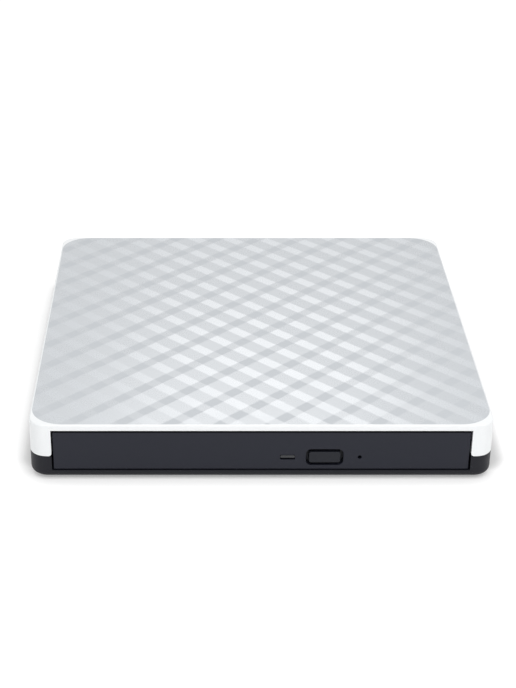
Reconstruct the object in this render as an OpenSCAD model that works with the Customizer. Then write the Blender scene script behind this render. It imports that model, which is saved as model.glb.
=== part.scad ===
// External DVD drive: a slim tray-loading drive in a two-part case.
// Millimetres. Front faces -Y, +Z up, origin under the middle of the feet.

/* [Case] */
// Free space between the drive and each side wall
side_space = 5.4; // [5:0.1:8]
// Side wall thickness
wall = 2; // [1.8:0.1:2.6]
// Top wall thickness
top_t = 2; // [1.5:0.1:3]
// Floor thickness
floor_t = 1.6; // [1.4:0.1:3]
// Height of the floor ribs that carry the drive
seat_h = 1.4; // [1.2:0.1:3]
// Air between the drive lid and the top wall
head_gap = 0.95; // [0.8:0.05:2]
// Room behind the drive for the bridge board
rear_space = 10.6; // [10:0.1:16]
// Plan radius of the case corners
corner_r = 5.5; // [4:0.5:9]
// Radius of the bottom edge
bottom_edge_r = 2.1; // [1:0.1:3.2]
// Radius of the top edge
top_edge_r = 0.5; // [0.3:0.1:0.9]
// Height of the parting line over the underside
parting_h = 7.4; // [6.8:0.1:8]
// Dark reveal between the two covers
reveal = 0.25; // [0.1:0.05:0.5]
// Height of the lip under the bezel
lip_h = 2.6; // [2:0.05:2.9]
// Radius of the white corner tabs beside the bezel
tab_r = 0.9; // [0.4:0.1:1.5]

/* [Feet and screws] */
// Foot diameter
foot_d = 10; // [8:0.5:12]
// Height of a foot under the case
foot_proud = 0.9; // [0.6:0.1:2]
// Depth of the seat that takes a foot
foot_seat = 0.6; // [0.4:0.1:0.8]
// Shank radius of a case screw
screw_r = 1; // [0.8:0.1:1.1]
// Head radius of a case screw
screw_head_r = 1.7; // [1.5:0.1:1.8]

/* [Drive] */
// Width of the drive beyond the disc recess
side_margin = 6.6; // [6:0.1:10]
// Drive depth behind the bezel
drive_d = 126; // [125:0.5:132]
// Drive height
drive_h = 12.7; // [12.4:0.1:15]
// Sheet thickness of the drive box
sheet_t = 0.6; // [0.5:0.05:0.7]
// Reach of the deep bay right of the spindle, as a share of the recess radius
bay_share = 0.634; // [0.63:0.001:0.65]
// Height of the wing over the drive bottom
wing_rise = 4; // [3.5:0.1:4.2]

/* [Bezel] */
// Bezel height
bezel_h = 13.2; // [12.6:0.1:13.4]
// Bezel depth
bezel_d = 4.2; // [4:0.1:5.5]
// Thickness of the bezel face
bezel_face_t = 1.8; // [1.5:0.1:2]
// Step of the bezel face behind the case front
bezel_recess = 0.2; // [0:0.05:0.6]
// Gap on each side of the bezel
bezel_side_gap = 0.5; // [0.3:0.05:0.8]
// Gap between the lip and the bezel
bezel_low_gap = 0.25; // [0.2:0.05:0.6]
// Rounding of the bezel edges
bezel_edge_r = 0.4; // [0.2:0.05:0.6]
// Height of button, lamp and pinhole over the bezel bottom
control_h = 4.35; // [4.2:0.05:4.5]
// Distance of the lamp from the right end of the bezel
lamp_in = 55.9; // [55:0.1:58]
// Distance of the eject button from the right end of the bezel
button_in = 44.5; // [44:0.1:45.5]
// Distance of the pinhole from the right end of the bezel
pinhole_in = 33.7; // [33:0.1:34]
// Pinhole radius
pinhole_r = 0.65; // [0.5:0.05:0.8]
// Width of the eject button
button_w = 9.6; // [8.5:0.1:10.4]
// Height of the eject button
button_h = 3.7; // [3.4:0.1:4]
// Gap around the eject button
button_gap = 1; // [0.3:0.05:1]
// Travel of the eject button
button_travel = 0.5; // [0.3:0.05:0.6]
// Width of the lamp window
lamp_w = 4.4; // [3:0.1:5]
// Height of the lamp face
lamp_h = 0.8; // [0.6:0.1:1]
// Dark gap under the lamp face
lamp_low_gap = 0.75; // [0.4:0.05:0.9]

/* [Tray] */
// Radius of the recess for a full-size disc
recess_r = 60.7; // [60.3:0.1:60.9]
// Depth of that recess
recess_depth = 3.1; // [2:0.1:3.4]
// Radius of the recess for a small disc
small_recess_r = 40.7; // [40.3:0.1:42]
// Step down to the small recess
small_recess_step = 0.6; // [0.3:0.1:0.9]
// Thickness of the tray floor under the large recess
ledge_t = 1.8; // [1.6:0.1:2]
// Depth of the tray wing beside the disc
tray_wing_d = 22; // [14:1:30]
// Height of the steel rails
rail_h = 4; // [3.8:0.1:4.4]
// Sheet thickness of the steel rails
rail_t = 0.5; // [0.4:0.05:0.6]
// Running gap over and under the rails
slide_gap = 0.1; // [0.05:0.05:0.15]

/* [Traverse] */
// Turntable radius
turntable_r = 14.5; // [13.5:0.1:15]
// Hub radius under the disc hole
hub_r = 7.4; // [7.2:0.05:7.45]
// Height of the hub over the disc seat
hub_h = 2.8; // [2.2:0.1:3]
// Guide rod radius
rod_r = 1; // [0.8:0.05:1.2]
// Distance of each guide rod from the slide line, as a share of the recess radius
rod_share = 0.23; // [0.228:0.001:0.234]
// Lens distance from the spindle at the inner end
lens_in = 24; // [23.5:0.1:24.5]
// Distance of the lens from the recess edge at the outer end
lens_out = 2.7; // [2.5:0.1:6]
// Lead screw radius
lead_r = 1.25; // [1:0.05:1.3]
// Curls of the eject spring
spring_turns = 10; // [7:1:10]
// Wire diameter of the eject spring
spring_wire = 0.5; // [0.4:0.05:0.6]

/* [Hidden] */
$fn = 64;

white = [0.93, 0.94, 0.95];
black = [0.14, 0.14, 0.15];
charcoal = [0.23, 0.24, 0.25];
steel = [0.72, 0.74, 0.76];
green = [0.05, 0.32, 0.18];
brass = [0.78, 0.62, 0.30];
tin = [0.85, 0.86, 0.88];
smoke = [0.22, 0.22, 0.24];

// Overall sizes follow from the drive and the space round it
drive_w = 2 * recess_r + side_margin;
drive_half = drive_w / 2;
case_w = drive_w + 2 * (side_space + wall);
chassis_gap = 0.4;
case_d = bezel_recess + bezel_d + chassis_gap + drive_d + rear_space + wall;
case_h = floor_t + seat_h + drive_h + head_gap + top_t;
case_z = foot_proud;
floor_z = case_z + floor_t;
parting_z = case_z + parting_h;
ceiling_z = case_z + case_h - top_t;
top_z = case_z + case_h;
front_y = -case_d / 2;
back_y = case_d / 2;
inner_back_y = back_y - wall;
bezel_y = front_y + bezel_recess;
tray_y = bezel_y + bezel_d;
chassis_y = tray_y + chassis_gap;
chassis_back_y = chassis_y + drive_d;
drive_z = floor_z + seat_h;

// Lap joint between the covers
lap_h = 1.2;
lap_skin = wall * 0.55;
lap_gap = 0.1;
eps = 0.01;
cut = 1;

// Case posts stand in the space beside the drive
post_r = side_space / 2 - 0.3;
post_x = drive_half + side_space / 2 - 0.1;
post_front_y = front_y + 13;
post_back_y = back_y - 11;
screw_head_h = 1;
screw_sink = floor_t + 0.8;
screw_clear = 0.12;
screw_len = 5.5;
cross_half = 0.25;
cross_depth = 0.6;
foot_bevel = 0.5;
foot_x = drive_half - 6;
foot_y = case_d / 2 - 13;

// Bezel and its opening
bezel_w = drive_w;
open_half = bezel_w / 2 + bezel_side_gap;
bezel_z = case_z + lip_h + bezel_low_gap;
bezel_wall = 1.4;
control_z = bezel_z + control_h;
lamp_x = bezel_w / 2 - lamp_in;
button_x = bezel_w / 2 - button_in;
pinhole_x = bezel_w / 2 - pinhole_in;
hook_spots = [-0.72 * drive_half, 2, 0.72 * drive_half];
button_r = 0.7;
button_proud = 0.15;
button_hole_half = button_h / 2 + button_gap;
lamp_proud = 0.15;
lamp_gap = 0.1;
lamp_z0 = control_z - 0.1;
lamp_z1 = lamp_z0 + lamp_h;

// Heights inside the drive, from the drive bottom
guide_t = 1;
guide_lip_t = 0.9;
guide_lip_w = 1.6;
rail_side_gap = 0.15;
rail_flange_w = 2.6;
rail_z0 = sheet_t + guide_lip_t + slide_gap;
rail_z1 = rail_z0 + rail_h;
guide_z1 = rail_z1 + slide_gap + guide_lip_t;
recess_z = guide_z1 + 0.3;
tray_floor_z = recess_z - ledge_t;
rim_z = recess_z + recess_depth;
seat_z = recess_z + 0.7;
lid_z = drive_h - sheet_t;
bead_h = 0.35;
tab_half = 3;
tab_in = 3.4;
tab_hole_r = 0.9;
tab_ys = [chassis_y + 3.6, chassis_back_y - 4];

// Sides of the drive bay
bay_left_x = -drive_half + sheet_t;
tray_inset = guide_t + rail_side_gap + rail_flange_w + 0.25;
tray_left_x = bay_left_x + tray_inset;
disc_x = tray_left_x + 0.2 + recess_r;
step_x = disc_x + bay_share * recess_r;
bay_right_x = step_x - sheet_t;
tray_right_x = bay_right_x - tray_inset;
tray_rim_left_x = bay_left_x + 0.8;
tray_rim_right_x = drive_half - sheet_t - 0.8;
tray_back_y = chassis_back_y - sheet_t - 0.8;
tray_beam_t = 2.4;
guide_y0 = tray_y + tray_beam_t + 0.3;
rail_y0 = guide_y0 + 0.3;
skirt_t = 1.5;
skirt_z = 1.4;
tongue_w = tray_inset - guide_t - 2 * rail_side_gap - rail_t;
disc_y = tray_y + tray_beam_t + recess_r;

// Round bead in the lid, inside the nearer of its front and back edges
bead_edge_gap = 9.7089;
bead_w = 3;
bead_out = min(disc_y - chassis_y, chassis_back_y - disc_y) - bead_edge_gap;
bead_in = bead_out - bead_w;

// Traverse unit, set at 45 degrees towards the front left corner
traverse_turn = 225;
plate_z0 = tray_floor_z - 1;
plate_z1 = tray_floor_z - 0.2;
rod_z = tray_floor_z - 2.2;
rod_offset = rod_share * recess_r;
slot_half = rod_offset + 2.5;
lead_v = rod_offset + 6;
plate_v1 = lead_v + 4;
plate_v0 = -rod_offset - 5;
slot_u0 = 13.5;
pickup_front = 4;
pickup_half = rod_offset - 2.5;
pickup_travel = recess_r - lens_out - lens_in;
slot_u1 = lens_in + pickup_travel + pickup_front + 0.5;
rod_u0 = 10.6;
rod_u1 = slot_u1 + 2.4;
motor_u0 = -3;
motor_u1 = 11;
lead_u1 = slot_u1 - 2.9;
journal_r = 0.8;
run_gap = 0.05;
fit_gap = 0.02;
damper_spots = [[-18, 0], [slot_u1 - 22.5, plate_v0 - 4], [slot_u1 - 26.5, plate_v1 + 3]];
damper_r = 2.6;
spindle_legs = [140, 220, 300];
spindle_leg_r = 17.2;

// Spindle heights
base_z0 = 1.2;
base_z1 = 1.8;
rotor_r = 12.5;
rotor_z0 = 2.4;
table_z = seat_z - 1;
pad_t = 0.2;
pawl_w = 2.2;
pawl_h = 1.4;
pawl_out = 0.45;
pawl_gap = 0.1;
pawl_z = seat_z + 0.75;
pawl_back = 3.6;

// Latch behind the pinhole
latch_x = tray_right_x - 6.9;
latch_y = disc_y - 0.557 * recess_r;
latch_post_x = latch_x - 6.5;
latch_post_y = latch_y - 14;
latch_post_r = 1.2;
latch_post_z1 = 3.2;
latch_arm = 12.6;
latch_swing = 18;
latch_locked = -119.9;
latch_rest = latch_locked + latch_swing;
lever_z0 = 1.5;
lever_z1 = 2.9;
pin_arm = 5;
plunger_z = 4.2;
plunger_r = 0.7;
solenoid_half = 3.6;
solenoid_y = latch_y + pin_arm;
solenoid_x0 = disc_x + solenoid_y + solenoid_half - disc_y + (plate_v1 + 0.6) * sqrt(2);
solenoid_x1 = latch_x - 9;
solenoid_len = solenoid_x1 - solenoid_x0;
release_arm = 4.6;
release_turn = -40;

// Eject pusher at the rear left of the tray
pusher_x = disc_x - 0.519 * recess_r;
pusher_z = 2.85;
pusher_r = 1.2;
pusher_travel = 12;
pusher_front_y = tray_back_y - 27.5;
collar_r = 2;
collar_t = 1;
pusher_lug_t = 3;
pusher_collar_y = tray_back_y - pusher_lug_t - 0.5 - collar_t - pusher_travel;
spring_rings = 8;
spring_span = pusher_collar_y - pusher_front_y - spring_wire - 0.1;
spring_pitch = spring_span / spring_turns;
spring_r = pusher_r + 0.35 + spring_wire / 2;

// Flat cable, folded once under the tray
flex_t = 0.2;
flex_w = 8;
flex_x1 = tray_right_x - 2.4;
flex_x0 = flex_x1 - flex_w;
flex_fold_y = chassis_y + 0.325 * drive_d;
flex_end_y = tray_back_y - 16;
flex_bend_r = 0.8;
flex_tail_y = chassis_back_y - 12;
flex_tail_w = flex_w;

// Boards and sockets at the back
board_t = 1;
bridge_z1 = parting_z + 0.45;
bridge_z0 = bridge_z1 - board_t;
bridge_y0 = chassis_back_y + 1.2;
bridge_y1 = inner_back_y - 0.3;
plug_x0 = step_x + 1.5;
plug_x1 = drive_half - sheet_t - 0.9;
plug_z = drive_z + 7.4;
usb_x = -4;
usb_w = 8.9;
usb_h = 3.3;
usb_t = 0.3;
usb_z = bridge_z1 + usb_h / 2;
usb_y1 = back_y - 0.3;
usb_y0 = usb_y1 - 7.3;
usb_tongue_half = 3.3;
usb_tongue_t = 0.7;
usb_root_h = 2;
bridge_mid_y = (bridge_y0 + bridge_y1) / 2;
bridge_post_xs = [usb_x - 12, step_x - 4];
bridge_post_r = 2.4;
bridge_hole_r = 1.1;
chip_t = 0.9;
tray_board_t = 0.8;
tray_board_x0 = disc_x + 4.5;
tray_board_y0 = disc_y + 26;
tray_chip_t = 0.7;

// Axis-aligned box between two corners
module box(x0, x1, y0, y1, z0, z1) {
    translate([x0, y0, z0])
        cube([x1 - x0, y1 - y0, z1 - z0]);
}

// Round bar along Y
module bar_y(x, z, r, y0, y1) {
    translate([x, y0, z])
        rotate([-90, 0, 0])
            cylinder(r = r, h = y1 - y0);
}

// Round bar along X
module bar_x(y, z, r, x0, x1) {
    translate([x0, y, z])
        rotate([0, 90, 0])
            cylinder(r = r, h = x1 - x0);
}

// Rectangle with true round corners
module round_rect(w, d, r) {
    square([w - 2 * r, d], center = true);
    square([w, d - 2 * r], center = true);
    for (sx = [-1, 1], sy = [-1, 1])
        translate([sx * (w / 2 - r), sy * (d / 2 - r)])
            circle(r);
}

// Half section of a block whose upper edge is rounded
module edge_section(reach, h, e) {
    square([reach, h - e]);
    square([reach - e, h]);
    translate([reach - e, h - e])
        intersection() {
            circle(e);
            square(e);
        }
}

// Block with round plan corners and a rounded upper edge
module soft_block(w, d, h, r, e) {
    for (turn = [0, 1])
        rotate([0, 0, 90 * turn]) {
            across = turn == 0 ? w : d;
            along = turn == 0 ? d : w;
            for (s = [0, 1])
                mirror([s, 0, 0])
                    rotate([90, 0, 0])
                        linear_extrude(along - 2 * r, center = true)
                            edge_section(across / 2, h, e);
        }
    for (sx = [-1, 1], sy = [-1, 1])
        translate([sx * (w / 2 - r), sy * (d / 2 - r), 0])
            rotate_extrude()
                edge_section(r, h, e);
}

// Drive frame: heights from the drive bottom
module in_drive() {
    translate([0, 0, drive_z])
        children();
}

// Traverse frame: +X from the spindle along the pickup's slide line
module in_traverse() {
    translate([disc_x, disc_y, drive_z])
        rotate([0, 0, traverse_turn])
            children();
}

module at_posts() {
    for (sx = [-1, 1], y = [post_front_y, post_back_y])
        translate([sx * post_x, y, 0])
            children();
}

module at_feet() {
    for (sx = [-1, 1], sy = [-1, 1])
        translate([sx * foot_x, sy * foot_y, 0])
            children();
}

// Outline of the case, moved in by some amount
module case_plan(inset) {
    round_rect(case_w - 2 * inset, case_d - 2 * inset, corner_r - inset);
}

// Opening of the back socket, straight sides and round ends
module usb_plan(grow) {
    round_rect(usb_w + 2 * grow, usb_h + 2 * grow, usb_h / 2 + grow - eps);
}

module usb_prism(grow, y0, y1) {
    translate([usb_x, y1, usb_z])
        rotate([90, 0, 0])
            linear_extrude(y1 - y0)
                usb_plan(grow);
}

module top_cover() {
    skirt_z0 = parting_z + reveal;
    color(white)
        difference() {
            union() {
                difference() {
                    translate([0, 0, skirt_z0])
                        soft_block(case_w, case_d, top_z - skirt_z0, corner_r, top_edge_r);
                    translate([0, 0, skirt_z0 - cut])
                        linear_extrude(ceiling_z - skirt_z0 + cut)
                            case_plan(wall);
                    translate([0, 0, skirt_z0 - cut])
                        linear_extrude(lap_h + lap_gap - reveal + cut)
                            case_plan(lap_skin);
                    box(-open_half, open_half, front_y - cut, front_y + wall + cut,
                        skirt_z0 - cut, ceiling_z);
                    for (s = [0, 1])
                        mirror([s, 0, 0])
                            tab_corner_cut(skirt_z0);
                }
                at_posts()
                    translate([0, 0, parting_z + lap_gap])
                        cylinder(r = post_r, h = ceiling_z - parting_z - lap_gap + eps);
                for (y = [-0.25, 0.25])
                    box(-drive_half + 8, drive_half - 8, y * case_d - 0.6, y * case_d + 0.6,
                        drive_z + drive_h + bead_h + 0.15, ceiling_z + eps);
            }
            at_posts()
                translate([0, 0, parting_z - cut])
                    cylinder(r = screw_r + run_gap, h = screw_len + cut + 0.5);
            usb_prism(0.25, inner_back_y - cut, back_y + cut);
            box(usb_x - usb_w / 2 + 1, usb_x + usb_w / 2 - 1, inner_back_y - cut, back_y + cut,
                skirt_z0 - cut, usb_z);
        }
}

// Takes the sharp lower corner off a front tab
module tab_corner_cut(z0) {
    translate([open_half, front_y + wall + cut, z0])
        rotate([90, 0, 0])
            linear_extrude(wall + 2 * cut)
                difference() {
                    translate([-cut, -cut])
                        square(tab_r + cut);
                    translate([tab_r, tab_r])
                        circle(tab_r);
                }
}

module bottom_cover() {
    lip_z = case_z + lip_h;
    rib_half = 0.8;
    color(black)
        difference() {
            union() {
                difference() {
                    translate([0, 0, parting_z])
                        mirror([0, 0, 1])
                            soft_block(case_w, case_d, parting_h, corner_r, bottom_edge_r);
                    translate([0, 0, floor_z])
                        linear_extrude(parting_h)
                            case_plan(wall);
                }
                translate([0, 0, parting_z - 1])
                    linear_extrude(lap_h + 1)
                        difference() {
                            case_plan(lap_skin + lap_gap);
                            case_plan(wall);
                        }
                at_posts()
                    translate([0, 0, floor_z - eps])
                        cylinder(r = post_r, h = parting_h - floor_t);
                for (x = [-drive_half + 12, step_x - 10])
                    box(x - rib_half, x + rib_half, chassis_y + 6, chassis_back_y - 6,
                        floor_z - eps, drive_z);
                box(drive_half - 12 - rib_half, drive_half - 12 + rib_half, chassis_y + 6,
                    chassis_back_y - 6, floor_z - eps, drive_z + wing_rise);
                for (s = [0, 1], y = [-0.2, 0.22])
                    mirror([s, 0, 0])
                        box(drive_half + 0.2, case_w / 2 - wall / 2, y * case_d - rib_half,
                            y * case_d + rib_half, floor_z - eps, parting_z - 0.2);
                for (x = [-drive_half + 14, -10])
                    box(x - 4, x + 4, chassis_back_y + 0.2, chassis_back_y + 1,
                        floor_z - eps, parting_z - 0.2);
                for (x = bridge_post_xs)
                    translate([x, bridge_mid_y, floor_z - eps])
                        cylinder(r = bridge_post_r, h = bridge_z0 - floor_z + eps);
            }
            box(-open_half, open_half, front_y - cut, front_y + wall + cut, lip_z, parting_z + 3);
            at_posts() {
                translate([0, 0, case_z - cut])
                    cylinder(r = screw_r + screw_clear, h = parting_h + 2 * cut);
                translate([0, 0, case_z - cut])
                    cylinder(r = screw_head_r + screw_clear, h = screw_sink + cut);
            }
            at_feet()
                translate([0, 0, case_z - cut])
                    cylinder(d = foot_d + 0.2, h = foot_seat + cut);
            box(usb_x - usb_w / 2 - 0.25, usb_x + usb_w / 2 + 0.25, inner_back_y - cut,
                inner_back_y + wall - lap_skin, parting_z, parting_z + 3);
        }
}

module rubber_feet() {
    color(black)
        at_feet()
            union() {
                cylinder(d1 = foot_d - 1, d2 = foot_d, h = foot_bevel);
                translate([0, 0, foot_bevel])
                    cylinder(d = foot_d, h = foot_proud + foot_seat - foot_bevel);
            }
}

module case_screws() {
    head_z = case_z + screw_sink - screw_head_h;
    color(steel)
        at_posts()
            difference() {
                union() {
                    translate([0, 0, head_z])
                        cylinder(r = screw_head_r, h = screw_head_h);
                    translate([0, 0, head_z + screw_head_h - eps])
                        cylinder(r = screw_r, h = parting_z + screw_len - head_z - screw_head_h);
                }
                for (turn = [0, 90])
                    rotate([0, 0, turn])
                        box(-screw_r, screw_r, -cross_half, cross_half, head_z - cut, head_z + cross_depth);
            }
}

module bridge_board() {
    color(green)
        difference() {
            box(bridge_post_xs[0] - 4, plug_x1 + 1, bridge_y0, bridge_y1, bridge_z0, bridge_z1);
            for (x = bridge_post_xs)
                translate([x, bridge_mid_y, bridge_z0 - cut])
                    cylinder(r = bridge_hole_r, h = board_t + 2 * cut);
        }
}

module bridge_chip() {
    color(black) {
        translate([usb_x + 14, bridge_mid_y - 3, bridge_z1])
            cube([6, 6, chip_t]);
        translate([usb_x + 24, bridge_mid_y - 1.5, bridge_z1])
            cube([3.2, 2.5, chip_t]);
    }
}

module usb_socket() {
    color(tin)
        difference() {
            usb_prism(0, usb_y0, usb_y1);
            usb_prism(-usb_t, usb_y0 + usb_t, usb_y1 + cut);
        }
}

module usb_tongue() {
    color(black) {
        box(usb_x - usb_tongue_half, usb_x + usb_tongue_half, usb_y0 + usb_t, usb_y1 - 0.8,
            usb_z - usb_tongue_t / 2, usb_z + usb_tongue_t / 2);
        box(usb_x - usb_tongue_half, usb_x + usb_tongue_half, usb_y0 + usb_t, usb_y0 + 1.6,
            usb_z - usb_root_h / 2, usb_z + usb_root_h / 2);
    }
}

module bridge_socket() {
    socket_y1 = bridge_y0 + 6;
    color(black)
        difference() {
            box(plug_x0 - 1, plug_x1 + 1, bridge_y0, socket_y1, bridge_z1, plug_z + 2);
            box(plug_x0, plug_x1, bridge_y0 - cut, bridge_y0 + 4, plug_z - 0.9, plug_z + 0.9);
        }
}

// Four tabs under the corners of the lid
module lid_tab_spots() {
    for (s = [-1, 1], y = tab_ys)
        translate([s * (drive_half - tab_in), y, 0])
            children();
}

module drive_chassis() {
    color(steel)
        in_drive()
            difference() {
                union() {
                    box(-drive_half, step_x, chassis_y, chassis_back_y, 0, sheet_t);
                    box(bay_right_x, step_x, chassis_y, chassis_back_y, 0, wing_rise + sheet_t);
                    box(bay_right_x, drive_half, chassis_y, chassis_back_y, wing_rise,
                        wing_rise + sheet_t);
                    box(-drive_half, bay_left_x, chassis_y, chassis_back_y, 0, lid_z);
                    box(drive_half - sheet_t, drive_half, chassis_y, chassis_back_y, wing_rise, lid_z);
                    box(-drive_half, step_x, chassis_back_y - sheet_t, chassis_back_y, 0, lid_z);
                    box(bay_right_x, drive_half, chassis_back_y - sheet_t, chassis_back_y,
                        wing_rise, lid_z);
                    lid_tab_spots()
                        translate([-tab_half, -tab_half, lid_z - sheet_t])
                            cube([2 * tab_half + 0.4, 2 * tab_half, sheet_t]);
                    for (y = tab_ys)
                        box(-drive_half, -drive_half + 1, y - tab_half, y + tab_half,
                            lid_z - sheet_t, lid_z);
                }
                lid_tab_spots()
                    translate([0, 0, lid_z - 2 * sheet_t])
                        cylinder(r = tab_hole_r, h = 3 * sheet_t);
                box(plug_x0 - 0.3, plug_x1 + 0.3, chassis_back_y - sheet_t - cut,
                    chassis_back_y + cut, wing_rise + sheet_t + tray_board_t, plug_z - drive_z + 2.4);
            }
}

module drive_lid() {
    flange_x = bay_left_x + 0.1;
    color(steel)
        in_drive()
            difference() {
                union() {
                    box(-drive_half, drive_half, chassis_y, chassis_back_y, lid_z, drive_h);
                    translate([disc_x, disc_y, drive_h - eps])
                        difference() {
                            cylinder(r = bead_out, h = bead_h);
                            translate([0, 0, -cut])
                                cylinder(r = bead_in, h = bead_h + 2 * cut);
                        }
                    for (s = [0, 1])
                        mirror([s, 0, 0])
                            box(flange_x, flange_x + 0.5, chassis_y + 10, chassis_back_y - 10,
                                lid_z - 1.2, lid_z + eps);
                }
                lid_tab_spots()
                    translate([0, 0, lid_z - cut])
                        cylinder(r = tab_hole_r, h = sheet_t + 2 * cut);
            }
}

module lid_screws() {
    color(tin)
        in_drive()
            lid_tab_spots()
                union() {
                    translate([0, 0, drive_h])
                        cylinder(r = 1.5, h = 0.4);
                    translate([0, 0, lid_z - 1])
                        cylinder(r = tab_hole_r - 0.1, h = drive_h - lid_z + 1 + eps);
                }
}

// Fixed channel on a bay wall at x = 0, open towards +X
module guide_channel() {
    y1 = flex_tail_y - flex_tail_w - 1;
    reach = guide_t + guide_lip_w;
    box(0, guide_t, guide_y0, y1, sheet_t, guide_z1);
    box(0, reach, guide_y0, y1, sheet_t, sheet_t + guide_lip_t);
    box(0, reach, guide_y0, y1, guide_z1 - guide_lip_t, guide_z1);
}

// Steel runner inside that channel
module rail_channel() {
    y1 = chassis_back_y - 9;
    web_x = guide_t + rail_side_gap;
    box(web_x, web_x + rail_t, rail_y0, y1, rail_z0, rail_z1);
    box(web_x, web_x + rail_flange_w, rail_y0, y1, rail_z0, rail_z0 + rail_t);
    box(web_x, web_x + rail_flange_w, rail_y0, y1, rail_z1 - rail_t, rail_z1);
}

module left_guide() {
    color(black)
        in_drive()
            translate([bay_left_x, 0, 0])
                guide_channel();
}

module right_guide() {
    color(black)
        in_drive()
            translate([bay_right_x, 0, 0])
                mirror([1, 0, 0])
                    guide_channel();
}

module left_rail() {
    color(steel)
        in_drive()
            translate([bay_left_x, 0, 0])
                rail_channel();
}

module right_rail() {
    color(steel)
        in_drive()
            translate([bay_right_x, 0, 0])
                mirror([1, 0, 0])
                    rail_channel();
}

module drive_board() {
    z0 = wing_rise + sheet_t;
    color(green)
        in_drive()
            box(step_x + 0.8, drive_half - sheet_t - 0.3, chassis_y + 0.4 * drive_d,
                chassis_back_y - sheet_t - 0.3, z0, z0 + tray_board_t);
}

module drive_chips() {
    z0 = wing_rise + sheet_t + tray_board_t;
    mid_x = (step_x + drive_half) / 2;
    color(black)
        in_drive() {
            translate([mid_x - 6, chassis_y + 0.55 * drive_d, z0])
                cube([12, 12, 1]);
            translate([mid_x - 4, chassis_y + 0.71 * drive_d, z0])
                cube([8, 5, 0.9]);
        }
}

module drive_plug() {
    z0 = drive_z + wing_rise + sheet_t + tray_board_t;
    color(black) {
        box(plug_x0, plug_x1, chassis_back_y - 7, chassis_back_y, z0, plug_z + 1.8);
        box(plug_x0 + 0.3, plug_x1 - 0.3, chassis_back_y - eps, bridge_y0 + 3.6,
            plug_z - 0.6, plug_z + 0.6);
    }
}

module latch_post() {
    color(steel)
        in_drive()
            translate([latch_post_x, latch_post_y, sheet_t])
                cylinder(r = latch_post_r, h = latch_post_z1 - sheet_t);
}

// Flat cable: along the drive floor, one fold forward of the tray board, back to its connector
module flex_cable() {
    fold_z = sheet_t + flex_t / 2 + flex_bend_r;
    upper_z = fold_z + flex_bend_r;
    color(brass)
        in_drive() {
            box(flex_x0, flex_x1, flex_fold_y, flex_tail_y, sheet_t, sheet_t + flex_t);
            box(flex_x0, bay_right_x - 0.2, flex_tail_y - flex_tail_w, flex_tail_y,
                sheet_t, sheet_t + flex_t);
            box(bay_right_x - 0.2 - flex_t, bay_right_x - 0.2, flex_tail_y - flex_tail_w, flex_tail_y,
                sheet_t, wing_rise + sheet_t + tray_board_t + flex_t);
            box(bay_right_x - 0.2 - flex_t, step_x + 4, flex_tail_y - flex_tail_w, flex_tail_y,
                wing_rise + sheet_t + tray_board_t, wing_rise + sheet_t + tray_board_t + flex_t);
            box(flex_x0, flex_x1, flex_fold_y, flex_end_y, upper_z - flex_t / 2, upper_z + flex_t / 2);
            translate([flex_x0, flex_fold_y, fold_z])
                rotate([90, 0, 90])
                    linear_extrude(flex_x1 - flex_x0)
                        difference() {
                            circle(flex_bend_r + flex_t / 2);
                            circle(flex_bend_r - flex_t / 2);
                            translate([0, -5])
                                square(10);
                        }
        }
}

// Traverse opening in the tray floor
module tray_opening() {
    translate([disc_x, disc_y])
        rotate(traverse_turn) {
            circle(turntable_r + 2);
            translate([(slot_u1 + 2) / 2 + 6, 0])
                round_rect(slot_u1 - 10, 2 * slot_half - 1, 4);
        }
}

// Outline of the raised rim, disc recess left open
module tray_rim_plan() {
    main_w = tray_right_x - tray_rim_left_x;
    main_d = tray_back_y - tray_y;
    wing_x0 = tray_right_x - 8;
    difference() {
        union() {
            translate([tray_rim_left_x + main_w / 2, tray_y + main_d / 2])
                round_rect(main_w, main_d, 2.5);
            translate([(wing_x0 + tray_rim_right_x) / 2, tray_y + tray_wing_d / 2])
                round_rect(tray_rim_right_x - wing_x0, tray_wing_d, 2.5);
            translate([tray_rim_left_x, tray_y])
                square([tray_rim_right_x - tray_rim_left_x, tray_beam_t]);
        }
        translate([disc_x, disc_y])
            circle(recess_r);
    }
}

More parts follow.
